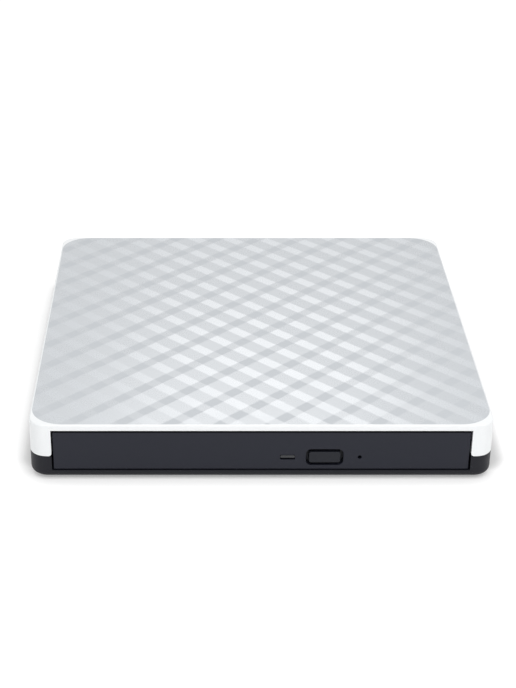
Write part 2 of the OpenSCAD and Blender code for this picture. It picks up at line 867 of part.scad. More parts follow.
module disc_tray() {
    wing_beam_z = wing_rise + sheet_t + 0.6;
    stem_z = control_z - drive_z;
    color(black)
        in_drive()
            difference() {
                union() {
                    translate([0, 0, recess_z - eps])
                        linear_extrude(rim_z - recess_z + eps)
                            tray_rim_plan();
                    box(tray_left_x, tray_right_x, tray_y, tray_back_y, tray_floor_z, recess_z);
                    box(tray_left_x, tray_left_x + skirt_t, tray_y, tray_back_y, skirt_z,
                        tray_floor_z + eps);
                    box(tray_right_x - skirt_t, tray_right_x, tray_y, tray_back_y, skirt_z,
                        tray_floor_z + eps);
                    box(tray_left_x, tray_right_x, tray_y, tray_y + tray_beam_t, skirt_z,
                        tray_floor_z + eps);
                    box(tray_right_x - eps, tray_rim_right_x, tray_y, tray_y + tray_beam_t, wing_beam_z,
                        recess_z);
                    box(tray_left_x - tongue_w, tray_left_x + eps, tray_y + 3, tray_back_y - 1,
                        rail_z0 + rail_t + slide_gap, rail_z1 - rail_t - slide_gap);
                    box(tray_right_x - eps, tray_right_x + tongue_w, tray_y + 3, tray_back_y - 1,
                        rail_z0 + rail_t + slide_gap, rail_z1 - rail_t - slide_gap);
                    translate([latch_x, latch_y, lever_z0 - 0.3])
                        cylinder(r = 1, h = tray_floor_z - lever_z0 + 0.3 + eps);
                    for (y = [pusher_front_y - pusher_lug_t, tray_back_y - pusher_lug_t])
                        box(pusher_x - 3, pusher_x + 3, y, y + pusher_lug_t, pusher_z - 1.9,
                            tray_floor_z + eps);
                }
                translate([disc_x, disc_y, recess_z - small_recess_step])
                    cylinder(r = small_recess_r, h = small_recess_step + cut);
                translate([0, 0, tray_floor_z - cut])
                    linear_extrude(rim_z - tray_floor_z + 2 * cut)
                        tray_opening();
                bar_y(pusher_x, pusher_z, pusher_r + run_gap, pusher_front_y - 4, tray_back_y + cut);
                box(button_x - 3, button_x + 3, tray_y - cut, tray_y + tray_beam_t + cut,
                    stem_z - 2.2, stem_z + 0.4);
                box(lamp_x - lamp_w / 2 - 0.3, lamp_x + lamp_w / 2 + 0.3, tray_y - cut,
                    tray_y + tray_beam_t + cut, stem_z - 1.4, stem_z + 0.4);
                bar_y(pinhole_x, stem_z, 1.1, tray_y - cut, tray_y + tray_beam_t + cut);
                for (x = hook_spots)
                    box(x - 2.7, x + 2.7, tray_y - cut, tray_y + tray_beam_t + cut, recess_z + 0.6,
                        recess_z + 2.2);
                for (spot = damper_spots)
                    translate([disc_x, disc_y, 0])
                        rotate([0, 0, traverse_turn])
                            translate([spot[0], spot[1], tray_floor_z - cut])
                                cylinder(r = 0.9, h = cut + 0.9);
            }
}

// Bezel block with rounded front edges
module bezel_block() {
    intersection() {
        translate([-bezel_w / 2, bezel_y, bezel_z])
            rotate([90, 0, 90])
                linear_extrude(bezel_w)
                    bezel_section(bezel_d, bezel_h);
        translate([0, bezel_y, bezel_z - cut])
            linear_extrude(bezel_h + 2 * cut)
                rotate(90)
                    translate([0, -bezel_w / 2])
                        bezel_section(bezel_d, bezel_w);
    }
}

// Rectangle from the origin, its two corners at x = 0 rounded
module bezel_section(d, h) {
    translate([bezel_edge_r, 0])
        square([d - bezel_edge_r, h]);
    translate([0, bezel_edge_r])
        square([d, h - 2 * bezel_edge_r]);
    for (y = [bezel_edge_r, h - bezel_edge_r])
        translate([bezel_edge_r, y])
            circle(bezel_edge_r);
}

// Upright rounded plate seen from the front
module front_plate(x, z, w, h, r, y0, y1) {
    translate([x, y1, z])
        rotate([90, 0, 0])
            linear_extrude(y1 - y0)
                round_rect(w, h, r);
}

module tray_bezel() {
    inner_y = bezel_y + bezel_face_t;
    hook_z = drive_z + recess_z + 0.8;
    color(charcoal) {
        difference() {
            bezel_block();
            box(-bezel_w / 2 + bezel_wall, bezel_w / 2 - bezel_wall, inner_y, tray_y + cut,
                bezel_z + bezel_wall, bezel_z + bezel_h - bezel_wall);
            front_plate(button_x, control_z, button_w + 2 * button_gap, button_h + 2 * button_gap,
                button_r + button_gap, bezel_y - cut, inner_y + cut);
            box(lamp_x - lamp_w / 2 - lamp_gap, lamp_x + lamp_w / 2 + lamp_gap, bezel_y - cut,
                inner_y + cut, lamp_z0 - lamp_low_gap, lamp_z1 + lamp_gap);
            bar_y(pinhole_x, control_z, pinhole_r, bezel_y - cut, inner_y + cut);
        }
        for (x = hook_spots)
            box(x - 2.5, x + 2.5, inner_y - eps, tray_y + tray_beam_t, hook_z, hook_z + 1.2);
    }
}

module light_pipe() {
    knee_y0 = bezel_y + bezel_face_t;
    knee_y1 = knee_y0 + 0.6;
    tail_z0 = lamp_z0 - 0.55;
    color(smoke) {
        front_plate(lamp_x, (lamp_z0 + lamp_z1) / 2, lamp_w, lamp_h, 0.3, bezel_y - lamp_proud,
            knee_y0 + eps);
        box(lamp_x - lamp_w / 2, lamp_x + lamp_w / 2, knee_y0, knee_y1, tail_z0, lamp_z1);
        box(lamp_x - lamp_w / 2, lamp_x + lamp_w / 2, knee_y1 - eps, tray_y + tray_beam_t + 0.4, tail_z0,
            lamp_z0);
    }
}

module front_board() {
    z1 = tray_floor_z;
    color(green)
        in_drive()
            box(lamp_x - 4, button_x + 7, tray_y + tray_beam_t + 0.2, tray_y + tray_beam_t + 8,
                z1 - tray_board_t, z1);
}

module eject_switch() {
    z1 = tray_floor_z - tray_board_t;
    y0 = tray_y + tray_beam_t + 0.4;
    color(tin)
        in_drive() {
            box(button_x - 2.4, button_x + 2.4, y0 + 0.4, y0 + 3, z1 - 1.9, z1);
            box(button_x - 0.8, button_x + 0.8, y0, y0 + 0.5, z1 - 1.5, z1 - 0.7);
        }
}

module activity_lamp() {
    z1 = tray_floor_z - tray_board_t;
    y0 = tray_y + tray_beam_t + 0.7;
    color(tin)
        in_drive()
            box(lamp_x - 1.5, lamp_x + 1.5, y0, y0 + 1.2, z1 - 1.1, z1);
}

module tray_board() {
    color(green)
        in_drive()
            box(tray_board_x0, tray_right_x - skirt_t - 0.4, tray_board_y0, tray_back_y - 4,
                tray_floor_z - tray_board_t, tray_floor_z);
}

module tray_chip() {
    z1 = tray_floor_z - tray_board_t;
    color(black)
        in_drive()
            translate([tray_board_x0 + 2, tray_board_y0 + 6, z1 - tray_chip_t])
                cube([10, 10, tray_chip_t]);
}

module flex_connector() {
    z1 = tray_floor_z - tray_board_t;
    fold_z = sheet_t + flex_t / 2 + flex_bend_r;
    upper_z = fold_z + flex_bend_r;
    color(white)
        in_drive()
            difference() {
                box(flex_x0 - 0.8, flex_x1 + 0.2, flex_end_y - 4, flex_end_y + 1, upper_z - 0.6, z1);
                box(flex_x0 - 0.1, flex_x1 + 0.1, flex_end_y - 4 - cut, flex_end_y + 0.1,
                    upper_z - flex_t / 2, upper_z + flex_t / 2);
            }
}

module traverse_base() {
    bracket_z = rod_z - rod_r - 0.5;
    color(steel)
        in_traverse()
            difference() {
                union() {
                    translate([0, 0, plate_z0])
                        linear_extrude(plate_z1 - plate_z0)
                            difference() {
                                union() {
                                    polygon([[-23, -9], [-23, 9], [-6, plate_v1], [slot_u1 - 4.5, plate_v1],
                                        [slot_u1 + 3.5, lead_v - 3], [slot_u1 + 3.5, plate_v0 + 7],
                                        [slot_u1 - 4.5, plate_v0], [-6, plate_v0]]);
                                    for (spot = damper_spots)
                                        translate(spot)
                                            circle(4.6);
                                }
                                circle(15);
                                translate([(slot_u0 + slot_u1) / 2, 0])
                                    square([slot_u1 - slot_u0, 2 * slot_half], center = true);
                                translate([motor_u1 + 0.2, lead_v - lead_r - 0.4])
                                    square([lead_u1 - motor_u1, 2 * lead_r + 0.8]);
                                for (spot = damper_spots)
                                    translate(spot)
                                        circle(damper_r + fit_gap);
                            }
                    for (u = [rod_u0 - 0.2, slot_u1 + 0.1], s = [-1, 1])
                        box(u, u + 2.5, s * rod_offset - 1.9, s * rod_offset + 1.9,
                            bracket_z, plate_z0 + eps);
                    box(lead_u1 + 0.4, lead_u1 + 2.6, lead_v - 1.8, lead_v + 1.8,
                        bracket_z, plate_z0 + eps);
                }
                for (s = [-1, 1])
                    bar_x(s * rod_offset, rod_z, rod_r + fit_gap, rod_u0 - 0.1, rod_u1 + 0.1);
                bar_x(lead_v, rod_z, journal_r + run_gap, lead_u1 - cut, lead_u1 + 4);
            }
}

module rubber_dampers() {
    flange_r = 3.4;
    color(black)
        in_traverse()
            for (spot = damper_spots)
                translate([spot[0], spot[1], 0])
                    difference() {
                        union() {
                            translate([0, 0, plate_z0 - 0.7])
                                cylinder(r = flange_r, h = 0.7);
                            translate([0, 0, plate_z0 - eps])
                                cylinder(r = damper_r, h = tray_floor_z - plate_z0 + eps);
                        }
                        translate([0, 0, plate_z0 - cut])
                            cylinder(r = 0.95, h = 3);
                    }
}

module traverse_screws() {
    head_z = plate_z0 - 1.4;
    color(tin)
        in_traverse()
            for (spot = damper_spots)
                translate([spot[0], spot[1], 0])
                    union() {
                        translate([0, 0, head_z])
                            cylinder(r = 1.9, h = 0.7);
                        translate([0, 0, head_z + 0.5])
                            cylinder(r = 0.85, h = tray_floor_z + 0.8 - head_z - 0.5);
                    }
}

module spindle_base() {
    color(steel)
        in_traverse()
            difference() {
                union() {
                    translate([0, 0, base_z0])
                        cylinder(r = 13.5, h = base_z1 - base_z0);
                    for (turn = spindle_legs)
                        rotate([0, 0, turn]) {
                            box(10, spindle_leg_r, -1.3, 1.3, base_z0, base_z1);
                            translate([spindle_leg_r, 0, base_z0])
                                cylinder(r = 1.3, h = plate_z0 - base_z0);
                        }
                    translate([0, 0, base_z1 - eps])
                        cylinder(r = 3, h = table_z - 1.2 - base_z1);
                }
                translate([0, 0, base_z1])
                    cylinder(r = rod_r + run_gap, h = 10);
            }
}

module motor_stator() {
    poles = 9;
    z0 = base_z1 + 0.6;
    z1 = table_z - 1.4;
    color(brass)
        in_traverse()
            translate([0, 0, z0])
                linear_extrude(z1 - z0)
                    difference() {
                        union() {
                            circle(6);
                            for (i = [0 : poles - 1])
                                rotate(i * 360 / poles) {
                                    translate([5, -1])
                                        square([4.5, 2]);
                                    translate([9, -2.4])
                                        square([1.4, 4.8]);
                                }
                        }
                        circle(3 + fit_gap);
                    }
}

module main_rod() {
    color(tin)
        in_traverse()
            bar_x(rod_offset, rod_z, rod_r, rod_u0, rod_u1);
}

module sub_rod() {
    color(tin)
        in_traverse()
            bar_x(-rod_offset, rod_z, rod_r, rod_u0, rod_u1);
}

module sled_motor() {
    body_r = 3.2;
    flat_z0 = rod_z - 1.7;
    flat_z1 = plate_z0 - 0.1;
    color(tin)
        in_traverse()
            difference() {
                union() {
                    intersection() {
                        bar_x(lead_v, rod_z, body_r, motor_u0, motor_u1);
                        box(motor_u0 - cut, motor_u1 + cut, lead_v - 4, lead_v + 4, flat_z0, flat_z1);
                    }
                    box(motor_u1 - 3, motor_u1 - 1, lead_v + 1, lead_v + body_r + 0.5, rod_z - 1, plate_z0);
                }
                bar_x(lead_v, rod_z, journal_r + run_gap, motor_u1 - 3, motor_u1 + cut);
            }
}

module latch_solenoid() {
    color(brass)
        in_drive()
            difference() {
                box(solenoid_x0, solenoid_x1, solenoid_y - solenoid_half, solenoid_y + solenoid_half,
                    plunger_z - 2.2, tray_floor_z);
                bar_x(solenoid_y, plunger_z, plunger_r + run_gap, solenoid_x1 - 0.85 * solenoid_len,
                    solenoid_x1 + cut);
            }
}

// Helix of the eject spring: centre of ring i
function spring_point(i) = [
    spring_r * cos(360 / spring_rings * i),
    spring_r * sin(360 / spring_rings * i),
    spring_pitch * i / spring_rings
];

// Wire helix as short hulls between small rings
module eject_spring() {
    steps = spring_rings * spring_turns;
    apart = spring_rings / 2;
    gaps = [
        for (i = [0 : steps - apart], j = [i + apart : steps])
            norm(spring_point(i) - spring_point(j)) - spring_wire
    ];
    echo(least_spring_gap = min(gaps));
    color(tin)
        in_drive()
            translate([pusher_x, pusher_front_y + spring_wire / 2 + 0.05, pusher_z])
                rotate([-90, 0, 0])
                    for (i = [0 : steps - 1])
                        hull() {
                            spring_ring(i);
                            spring_ring(i + 1);
                        }
}

module spring_ring(i) {
    translate(spring_point(i))
        rotate([90, 0, 360 / spring_rings * i])
            cylinder(d = spring_wire, h = 2 * eps, center = true, $fn = 6);
}

module spindle_rotor() {
    color(steel)
        in_traverse()
            difference() {
                translate([0, 0, rotor_z0])
                    cylinder(r = rotor_r, h = table_z - rotor_z0);
                translate([0, 0, rotor_z0 - cut])
                    cylinder(r = rotor_r - 0.9, h = table_z - rotor_z0 - 0.8 + cut);
                translate([0, 0, table_z - 2])
                    cylinder(r = rod_r + fit_gap, h = 4);
            }
}

module spindle_shaft() {
    color(tin)
        in_traverse()
            translate([0, 0, base_z1 + 0.1])
                cylinder(r = rod_r, h = seat_z + 0.4 - base_z1);
}

module turntable_hub() {
    color(black)
        in_traverse()
            difference() {
                union() {
                    translate([0, 0, table_z])
                        cylinder(r = turntable_r, h = seat_z - pad_t - table_z);
                    translate([0, 0, table_z])
                        cylinder(r = hub_r, h = seat_z + hub_h - 0.8 - table_z);
                    translate([0, 0, seat_z + hub_h - 0.8 - eps])
                        cylinder(r1 = hub_r, r2 = hub_r - 0.9, h = 0.8);
                }
                translate([0, 0, table_z - cut])
                    cylinder(r = rod_r + fit_gap, h = seat_z + 0.6 - table_z + cut);
                for (i = [0 : 2])
                    rotate([0, 0, 120 * i])
                        box(pawl_back - 1.2, hub_r + cut, -pawl_w / 2 - pawl_gap, pawl_w / 2 + pawl_gap,
                            pawl_z - pawl_gap, pawl_z + pawl_h + pawl_gap);
                translate([0, 0, seat_z + hub_h - 0.7])
                    cylinder(r = 4.4, h = 2);
            }
}

module turntable_pad() {
    color(black)
        in_traverse()
            translate([0, 0, seat_z - pad_t])
                difference() {
                    cylinder(r = turntable_r - 0.4, h = pad_t);
                    translate([0, 0, -cut])
                        cylinder(r = 10, h = pad_t + 2 * cut);
                }
}

// Sprung pawl number i: a block with a round nose, reaching past the hub
module hub_pawl(i) {
    nose_x = hub_r + pawl_out - pawl_w / 2;
    color(charcoal)
        in_traverse()
            rotate([0, 0, 120 * i])
                translate([0, 0, pawl_z]) {
                    box(pawl_back, nose_x, -pawl_w / 2, pawl_w / 2, 0, pawl_h);
                    translate([nose_x, 0, 0])
                        cylinder(r = pawl_w / 2, h = pawl_h);
                }
}

module hub_pawl_1() {
    hub_pawl(0);
}

module hub_pawl_2() {
    hub_pawl(1);
}

module hub_pawl_3() {
    hub_pawl(2);
}

module pickup_body() {
    body_z0 = 1.5;
    body_z1 = plate_z0 - 0.3;
    top_z1 = tray_floor_z + 0.1;
    color(black)
        in_traverse()
            difference() {
                union() {
                    box(lens_in - 8, lens_in + pickup_front, 1 - rod_offset, rod_offset - 1,
                        body_z0, body_z1);
                    box(lens_in - 6, lens_in + pickup_front, -pickup_half, pickup_half, body_z0, top_z1);
                    box(lens_in - 9.5, lens_in - 5.5, rod_offset - 2.4, rod_offset + 2.2, body_z0, body_z1);
                    box(lens_in - 0.5, lens_in + 3.5, rod_offset - 2.4, rod_offset + 2.2, body_z0, body_z1);
                    box(lens_in - 4, lens_in + 1, -rod_offset - 2, -rod_offset + 2.4, body_z0, body_z1);
                }
                cylinder(r = turntable_r + 0.6, h = 20);
                bar_x(rod_offset, rod_z, rod_r + run_gap, 0, 100);
                box(lens_in - 5, lens_in + 2, -rod_offset - 3, -rod_offset + rod_r + run_gap,
                    rod_z - rod_r - run_gap, rod_z + rod_r + run_gap);
                box(lens_in - 4, lens_in + pickup_front - 0.5, -7, 7, rod_z - 0.4, top_z1 + cut);
            }
}

module pickup_cover() {
    z0 = tray_floor_z + 0.1;
    color(steel)
        in_traverse()
            difference() {
                box(lens_in - 6, lens_in + pickup_front, -pickup_half, pickup_half, z0, z0 + 0.3);
                cylinder(r = turntable_r + 0.6, h = 20);
                box(lens_in - 3.6, lens_in + pickup_front - 0.5, -5.4, 5.4, z0 - cut, z0 + cut);
            }
}

// Leaf with two teeth beside the lead screw
module rack_follower() {
    z0 = rod_z - 0.9;
    color(white)
        in_traverse() {
            box(lens_in - 5, lens_in + 3, rod_offset + 2.2, rod_offset + 3, z0, z0 + 1.8);
            for (du = [-3, 0])
                box(lens_in + du, lens_in + du + 1, rod_offset + 3 - eps, lead_v - lead_r - 0.3,
                    z0 + 0.4, z0 + 1.4);
        }
}

module lens_holder() {
    z0 = tray_floor_z - 1.3;
    color(charcoal)
        in_traverse()
            difference() {
                union() {
                    box(lens_in - 3, lens_in + 3, -4.6, 4.6, z0, z0 + 1.4);
                    translate([lens_in, 0, z0])
                        cylinder(r = 2.8, h = 2);
                }
                translate([lens_in, 0, z0 - cut])
                    cylinder(r = 2.1, h = 10);
            }
}

module objective_lens() {
    z0 = tray_floor_z - 0.3;
    dome = 3.2;
    color([0.5, 0.6, 0.8])
        in_traverse()
            translate([lens_in, 0, z0])
                intersection() {
                    cylinder(r = 2.1 - fit_gap, h = 2);
                    translate([0, 0, 1.35 - dome])
                        sphere(dome);
                }
}

module lead_screw() {
    color(tin)
        in_traverse() {
            bar_x(lead_v, rod_z, lead_r, motor_u1 + 0.4, lead_u1);
            bar_x(lead_v, rod_z, journal_r, motor_u1 - 2.6, motor_u1 + 0.4 + eps);
            bar_x(lead_v, rod_z, journal_r, lead_u1 - eps, lead_u1 + 2.4);
        }
}

module eject_button() {
    flange_y = bezel_y + bezel_face_t + 0.2;
    stem_z = drive_z + tray_floor_z - tray_board_t - 1.1;
    flange_half = button_w / 2 + button_gap + 0.45;
    color(charcoal) {
        front_plate(button_x, control_z, button_w, button_h, button_r, bezel_y - button_proud,
            flange_y + eps);
        box(button_x - flange_half, button_x + flange_half, flange_y, flange_y + 0.7,
            control_z - button_hole_half, control_z + button_hole_half + 0.35);
        box(button_x - 2, button_x + 2, flange_y + 0.7 - eps, tray_y + tray_beam_t - button_travel,
            stem_z - 0.6, stem_z + 0.6);
    }
}

// Point on the lever at some length and angle from its pivot
function lever_at(len, angle) = [latch_x + len * cos(angle), latch_y + len * sin(angle)];

module latch_lever() {
    tip = lever_at(latch_arm, latch_rest);
    release = lever_at(release_arm, release_turn);
    color(white)
        in_drive()
            difference() {
                union() {
                    translate([0, 0, lever_z0]) {
                        translate([latch_x, latch_y, 0])
                            cylinder(r = 2.4, h = lever_z1 - lever_z0);
                        translate(tip)
                            cylinder(r = 1.2, h = lever_z1 - lever_z0);
                        translate([latch_x, latch_y, 0])
                            rotate([0, 0, latch_rest])
                                box(0, latch_arm, -1.2, 1.2, 0, lever_z1 - lever_z0);
                        translate([latch_x, latch_y, 0])
                            rotate([0, 0, release_turn])
                                box(0, release_arm, -1, 1, 0, lever_z1 - lever_z0);
                        translate([latch_x - 1, latch_y, 0])
                            cube([2, pin_arm, lever_z1 - lever_z0]);
                    }
                    translate([release[0], release[1], lever_z0])
                        cylinder(r = 1, h = 4.6 - lever_z0);
                    translate([latch_x, latch_y + pin_arm, lever_z0])
                        cylinder(r = 0.6, h = 4.9 - lever_z0);
                }
                translate([latch_x, latch_y, 0])
                    cylinder(r = 1 + run_gap, h = 10);
            }
}

module solenoid_plunger() {
    y = solenoid_y;
    color(steel)
        in_drive()
            difference() {
                union() {
                    bar_x(y, plunger_z, plunger_r, solenoid_x1 - 0.6 * solenoid_len, latch_x - 1.8);
                    box(latch_x - 2.2, latch_x + 2.2, y - 1.8, y + 1.8, plunger_z - plunger_r,
                        plunger_z + 0.3);
                }
                box(latch_x - 0.95, latch_x + 0.95, y - 1.2, y + 1.2, 0, 10);
            }
}

module eject_pusher() {
    tip_y = chassis_back_y - sheet_t - 0.3;
    color(black)
        in_drive() {
            bar_y(pusher_x, pusher_z, pusher_r, pusher_front_y - 2.8, tip_y);
            bar_y(pusher_x, pusher_z, collar_r, pusher_collar_y, pusher_collar_y + collar_t);
        }
}

top_cover();
bottom_cover();
rubber_feet();
case_screws();
bridge_board();
bridge_chip();
usb_socket();
usb_tongue();
bridge_socket();
drive_chassis();
drive_lid();
lid_screws();
left_guide();
right_guide();
drive_board();
drive_chips();
drive_plug();
latch_post();
flex_cable();
left_rail();
right_rail();
disc_tray();
tray_bezel();
light_pipe();
front_board();
eject_switch();
activity_lamp();
tray_board();
tray_chip();
flex_connector();
traverse_base();
rubber_dampers();
traverse_screws();
spindle_base();
motor_stator();
main_rod();
sub_rod();
sled_motor();
latch_solenoid();
eject_spring();
spindle_rotor();
spindle_shaft();
turntable_hub();
turntable_pad();
hub_pawl_1();
hub_pawl_2();
hub_pawl_3();
pickup_body();
pickup_cover();
rack_follower();
lens_holder();
objective_lens();
lead_screw();
eject_button();
latch_lever();
solenoid_plunger();
eject_pusher();
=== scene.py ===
# %% [markdown]
# # A slim disc drive in a white case
# The drive has a white top cover with a pale diagonal plaid, a black lower cover and a charcoal bezel that
# slides out with the tray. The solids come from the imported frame. This lesson gives every piece its finish,
# and remakes the few pieces that bend, are wound or are too fine for the solids.

# %% Load the frame
import math

import bmesh
import bpy
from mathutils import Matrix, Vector


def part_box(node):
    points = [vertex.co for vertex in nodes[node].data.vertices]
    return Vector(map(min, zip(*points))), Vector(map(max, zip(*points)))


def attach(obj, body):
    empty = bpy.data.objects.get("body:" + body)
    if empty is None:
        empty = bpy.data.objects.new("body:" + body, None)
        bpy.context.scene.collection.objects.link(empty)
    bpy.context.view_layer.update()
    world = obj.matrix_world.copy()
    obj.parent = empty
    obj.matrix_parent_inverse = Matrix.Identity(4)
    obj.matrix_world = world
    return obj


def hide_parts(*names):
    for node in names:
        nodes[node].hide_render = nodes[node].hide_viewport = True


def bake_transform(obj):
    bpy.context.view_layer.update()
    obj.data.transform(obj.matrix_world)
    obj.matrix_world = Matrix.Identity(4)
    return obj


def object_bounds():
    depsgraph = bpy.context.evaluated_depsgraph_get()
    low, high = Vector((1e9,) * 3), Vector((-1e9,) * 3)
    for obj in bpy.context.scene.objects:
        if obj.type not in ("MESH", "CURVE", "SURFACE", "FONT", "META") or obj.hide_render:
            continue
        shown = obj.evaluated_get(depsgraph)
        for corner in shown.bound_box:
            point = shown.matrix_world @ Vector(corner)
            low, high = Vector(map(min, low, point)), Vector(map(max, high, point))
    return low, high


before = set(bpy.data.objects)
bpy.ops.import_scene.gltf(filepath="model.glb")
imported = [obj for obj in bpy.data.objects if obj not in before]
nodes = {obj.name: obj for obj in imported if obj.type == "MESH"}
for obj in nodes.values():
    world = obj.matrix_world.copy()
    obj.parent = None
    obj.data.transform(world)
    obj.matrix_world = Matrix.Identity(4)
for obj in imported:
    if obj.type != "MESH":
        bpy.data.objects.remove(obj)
cad_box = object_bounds()

# %% [markdown]
# ## Camera
# The photograph looks down at the front of the drive by about 27 degrees, with a long lens, and the drive
# sits right of the lens axis. So the camera is level from side to side and its frame is shifted a little.

# %% Camera
CAMERA_PLACE = (-0.0184, -0.4881, 0.2620)
CAMERA_PITCH = math.radians(27.27)
CAMERA_LENS = 82.8
CAMERA_SHIFT_X = 0.0823


def make_camera():
    data = bpy.data.cameras.new("front_camera")
    data.lens = CAMERA_LENS
    data.sensor_width = 36
    data.shift_x = CAMERA_SHIFT_X
    camera = bpy.data.objects.new("front_camera", data)
    camera.location = CAMERA_PLACE
    camera.rotation_euler = (math.pi / 2 - CAMERA_PITCH, 0, 0)
    bpy.context.scene.collection.objects.link(camera)
    bpy.context.scene.camera = camera
    return camera


camera = make_camera()
print("camera:", camera.data.lens, "mm lens at", tuple(camera.location))

# %% [markdown]
# ## Small helpers for shader trees
# A material here is a Principled shader fed by a few maths nodes. These helpers keep each material short:
# one joins a socket or sets a value, one does a sum, and one mixes two colours.


# %% Shader helpers
def srgb(red, green, blue):
    """A screen colour from 0 to 255, as the linear colour that a shader wants."""
    linear = [((c / 255 + 0.055) / 1.055) ** 2.4 if c > 10 else c / 3294.6 for c in (red, green, blue)]
    return (*linear, 1)


def feed(tree, socket, source):
    """Joins an output to a socket, or sets the socket to a plain value."""
    if isinstance(source, bpy.types.NodeSocket):
        tree.links.new(source, socket)
    else:
        socket.default_value = source


def calc(tree, operation, *values):
    node = tree.nodes.new("ShaderNodeMath")
    node.operation = operation
    for socket, value in zip(node.inputs, values):
        feed(tree, socket, value)
    return node.outputs["Value"]


def blend_colours(tree, factor, first, second):
    node = tree.nodes.new("ShaderNodeMix")
    node.data_type = "RGBA"
    feed(tree, node.inputs["Factor"], factor)
    feed(tree, node.inputs[6], first)
    feed(tree, node.inputs[7], second)
    return node.outputs[2]


def stretch(tree, value, low, high, new_low=0.0, new_high=1.0, smooth=False):
    node = tree.nodes.new("ShaderNodeMapRange")
    node.interpolation_type = "SMOOTHSTEP" if smooth else "LINEAR"
    for label, source in zip(("Value", "From Min", "From Max", "To Min", "To Max"),
                             (value, low, high, new_low, new_high)):
        feed(tree, node.inputs[label], source)
    return node.outputs["Result"]


def own_place(tree):
    """Where a point is on the drive, in metres, so that a pattern keeps its real size."""
    return tree.nodes.new("ShaderNodeTexCoord").outputs["Object"]


def noise(tree, place, cell, detail=2.0):
    """Soft random values with lumps of about one cell across, in metres."""
    node = tree.nodes.new("ShaderNodeTexNoise")
    feed(tree, node.inputs["Vector"], place)
    feed(tree, node.inputs["Scale"], 1 / cell if isinstance(cell, float) else calc(tree, "DIVIDE", 1.0, cell))
    feed(tree, node.inputs["Detail"], detail)
    return node.outputs["Fac"]


def beyond_corners(tree, low, high, inset):
    """How far a point lies, in plan, outside the rectangle that is left when a box shrinks by an inset."""
    split = tree.nodes.new("ShaderNodeSeparateXYZ")
    feed(tree, split.inputs["Vector"], own_place(tree))
    outside = []
    for axis, near, far in (("X", low.x, high.x), ("Y", low.y, high.y)):
        away = calc(tree, "ABSOLUTE", calc(tree, "SUBTRACT", split.outputs[axis], (near + far) / 2))
        outside.append(calc(tree, "MAXIMUM", calc(tree, "SUBTRACT", away, (far - near) / 2 - inset), 0.0))
    squares = [calc(tree, "POWER", value, 2.0) for value in outside]
    return calc(tree, "SQRT", calc(tree, "ADD", *squares))


def start_group(name, inputs, outputs):
    group = bpy.data.node_groups.new(name, "ShaderNodeTree")
    for label, value in inputs.items():
        kind = "NodeSocketVector" if isinstance(value, tuple) else "NodeSocketFloat"
        group.interface.new_socket(label, in_out="INPUT", socket_type=kind).default_value = value
    for label in outputs:
        group.interface.new_socket(label, in_out="OUTPUT", socket_type="NodeSocketFloat")
    enter = group.nodes.new("NodeGroupInput")
    leave = group.nodes.new("NodeGroupOutput")
    return group, enter.outputs, leave.inputs


def place_group(tree, group, values):
    node = tree.nodes.new("ShaderNodeGroup")
    node.node_tree = group
    for label, value in values.items():
        feed(tree, node.inputs[label], value)
    return node.outputs


def start_material(name, metallic=0.0, specular=0.5):
    material = bpy.data.materials.new(name)
    material.use_nodes = True
    shader = material.node_tree.nodes["Principled BSDF"]
    shader.inputs["Metallic"].default_value = metallic
    shader.inputs["Specular IOR Level"].default_value = specular
    return material, material.node_tree, shader


def raise_surface(tree, shader, height, depth):
    """Fine relief: height from 0 to 1 stands up to depth metres out of the surface."""
    bump = tree.nodes.new("ShaderNodeBump")
    bump.inputs["Distance"].default_value = depth
    feed(tree, bump.inputs["Height"], height)
    feed(tree, shader.inputs["Normal"], bump.outputs["Normal"])


def apply_effect(tree, shader, colour, effect, depth):
    """Feeds a shared effect to a shader: its shade times a colour, its roughness and its relief."""
    tint = tree.nodes.new("ShaderNodeVectorMath")
    tint.operation = "SCALE"
    tint.inputs[0].default_value = colour[:3]
    feed(tree, tint.inputs["Scale"], effect["Shade"])
    feed(tree, shader.inputs["Base Color"], tint.outputs["Vector"])
    feed(tree, shader.inputs["Roughness"], effect["Roughness"])
    raise_surface(tree, shader, effect["Height"], depth)


print("shader helpers ready")

# %% [markdown]
# ## Studio
# The drive stands on a white sweep. A softbox hangs over its front, a small lamp far behind puts the glint
# on the plaid, and the room gives the rest, so that a colour renders about as it is written. The floor looks
# a little brighter to the camera than it is, more so far from the lamps, which makes the paper pure white,
# and the shadow stays on it. Close to the case the paper's colour is darkened by a painted shadow, as little
# light gets in there: a little at the front, more beside the case, and furthest out on the right.

# %% Floor, lamps and room
FLOOR_HALF = 6.0
FLOOR_LIFT = {"near": 0.30, "far": 0.55, "from": 0.25, "to": 1.5}
CONTACT_CORNER = 0.006
CONTACT_REACH = 0.006
PAPER_TONE = 0.92
# Painted shadow on the paper around the case: its tone, and shifts of the box's low and high corners.
PAINTED_CONTACT_SHADOWS = [
    (0.74, Vector((0, 0, 0)), Vector((0, 0, 0))),
    (0.42, Vector((-0.0004, 0.008, 0)), Vector((0.0026, 0.0004, 0))),
]
ROOM_LEVEL = 0.62


def seen_directly(tree):
    """1 for rays from the camera, and for those that a shiny or clear surface sends on."""
    path = tree.nodes.new("ShaderNodeLightPath").outputs
    shiny = calc(tree, "MAXIMUM", path["Is Glossy Ray"], path["Is Transmission Ray"])
    return calc(tree, "MAXIMUM", path["Is Camera Ray"], shiny)


def painted_contact_shadow(tree, low, high, tone):
    """Painted shadow on the paper: its tone is low over a box in plan, and back to plain paper a few
    millimetres outside it.
    """
    away = calc(tree, "SUBTRACT", beyond_corners(tree, low, high, CONTACT_CORNER), CONTACT_CORNER)
    return stretch(tree, away, 0.0, CONTACT_REACH, tone, PAPER_TONE, True)


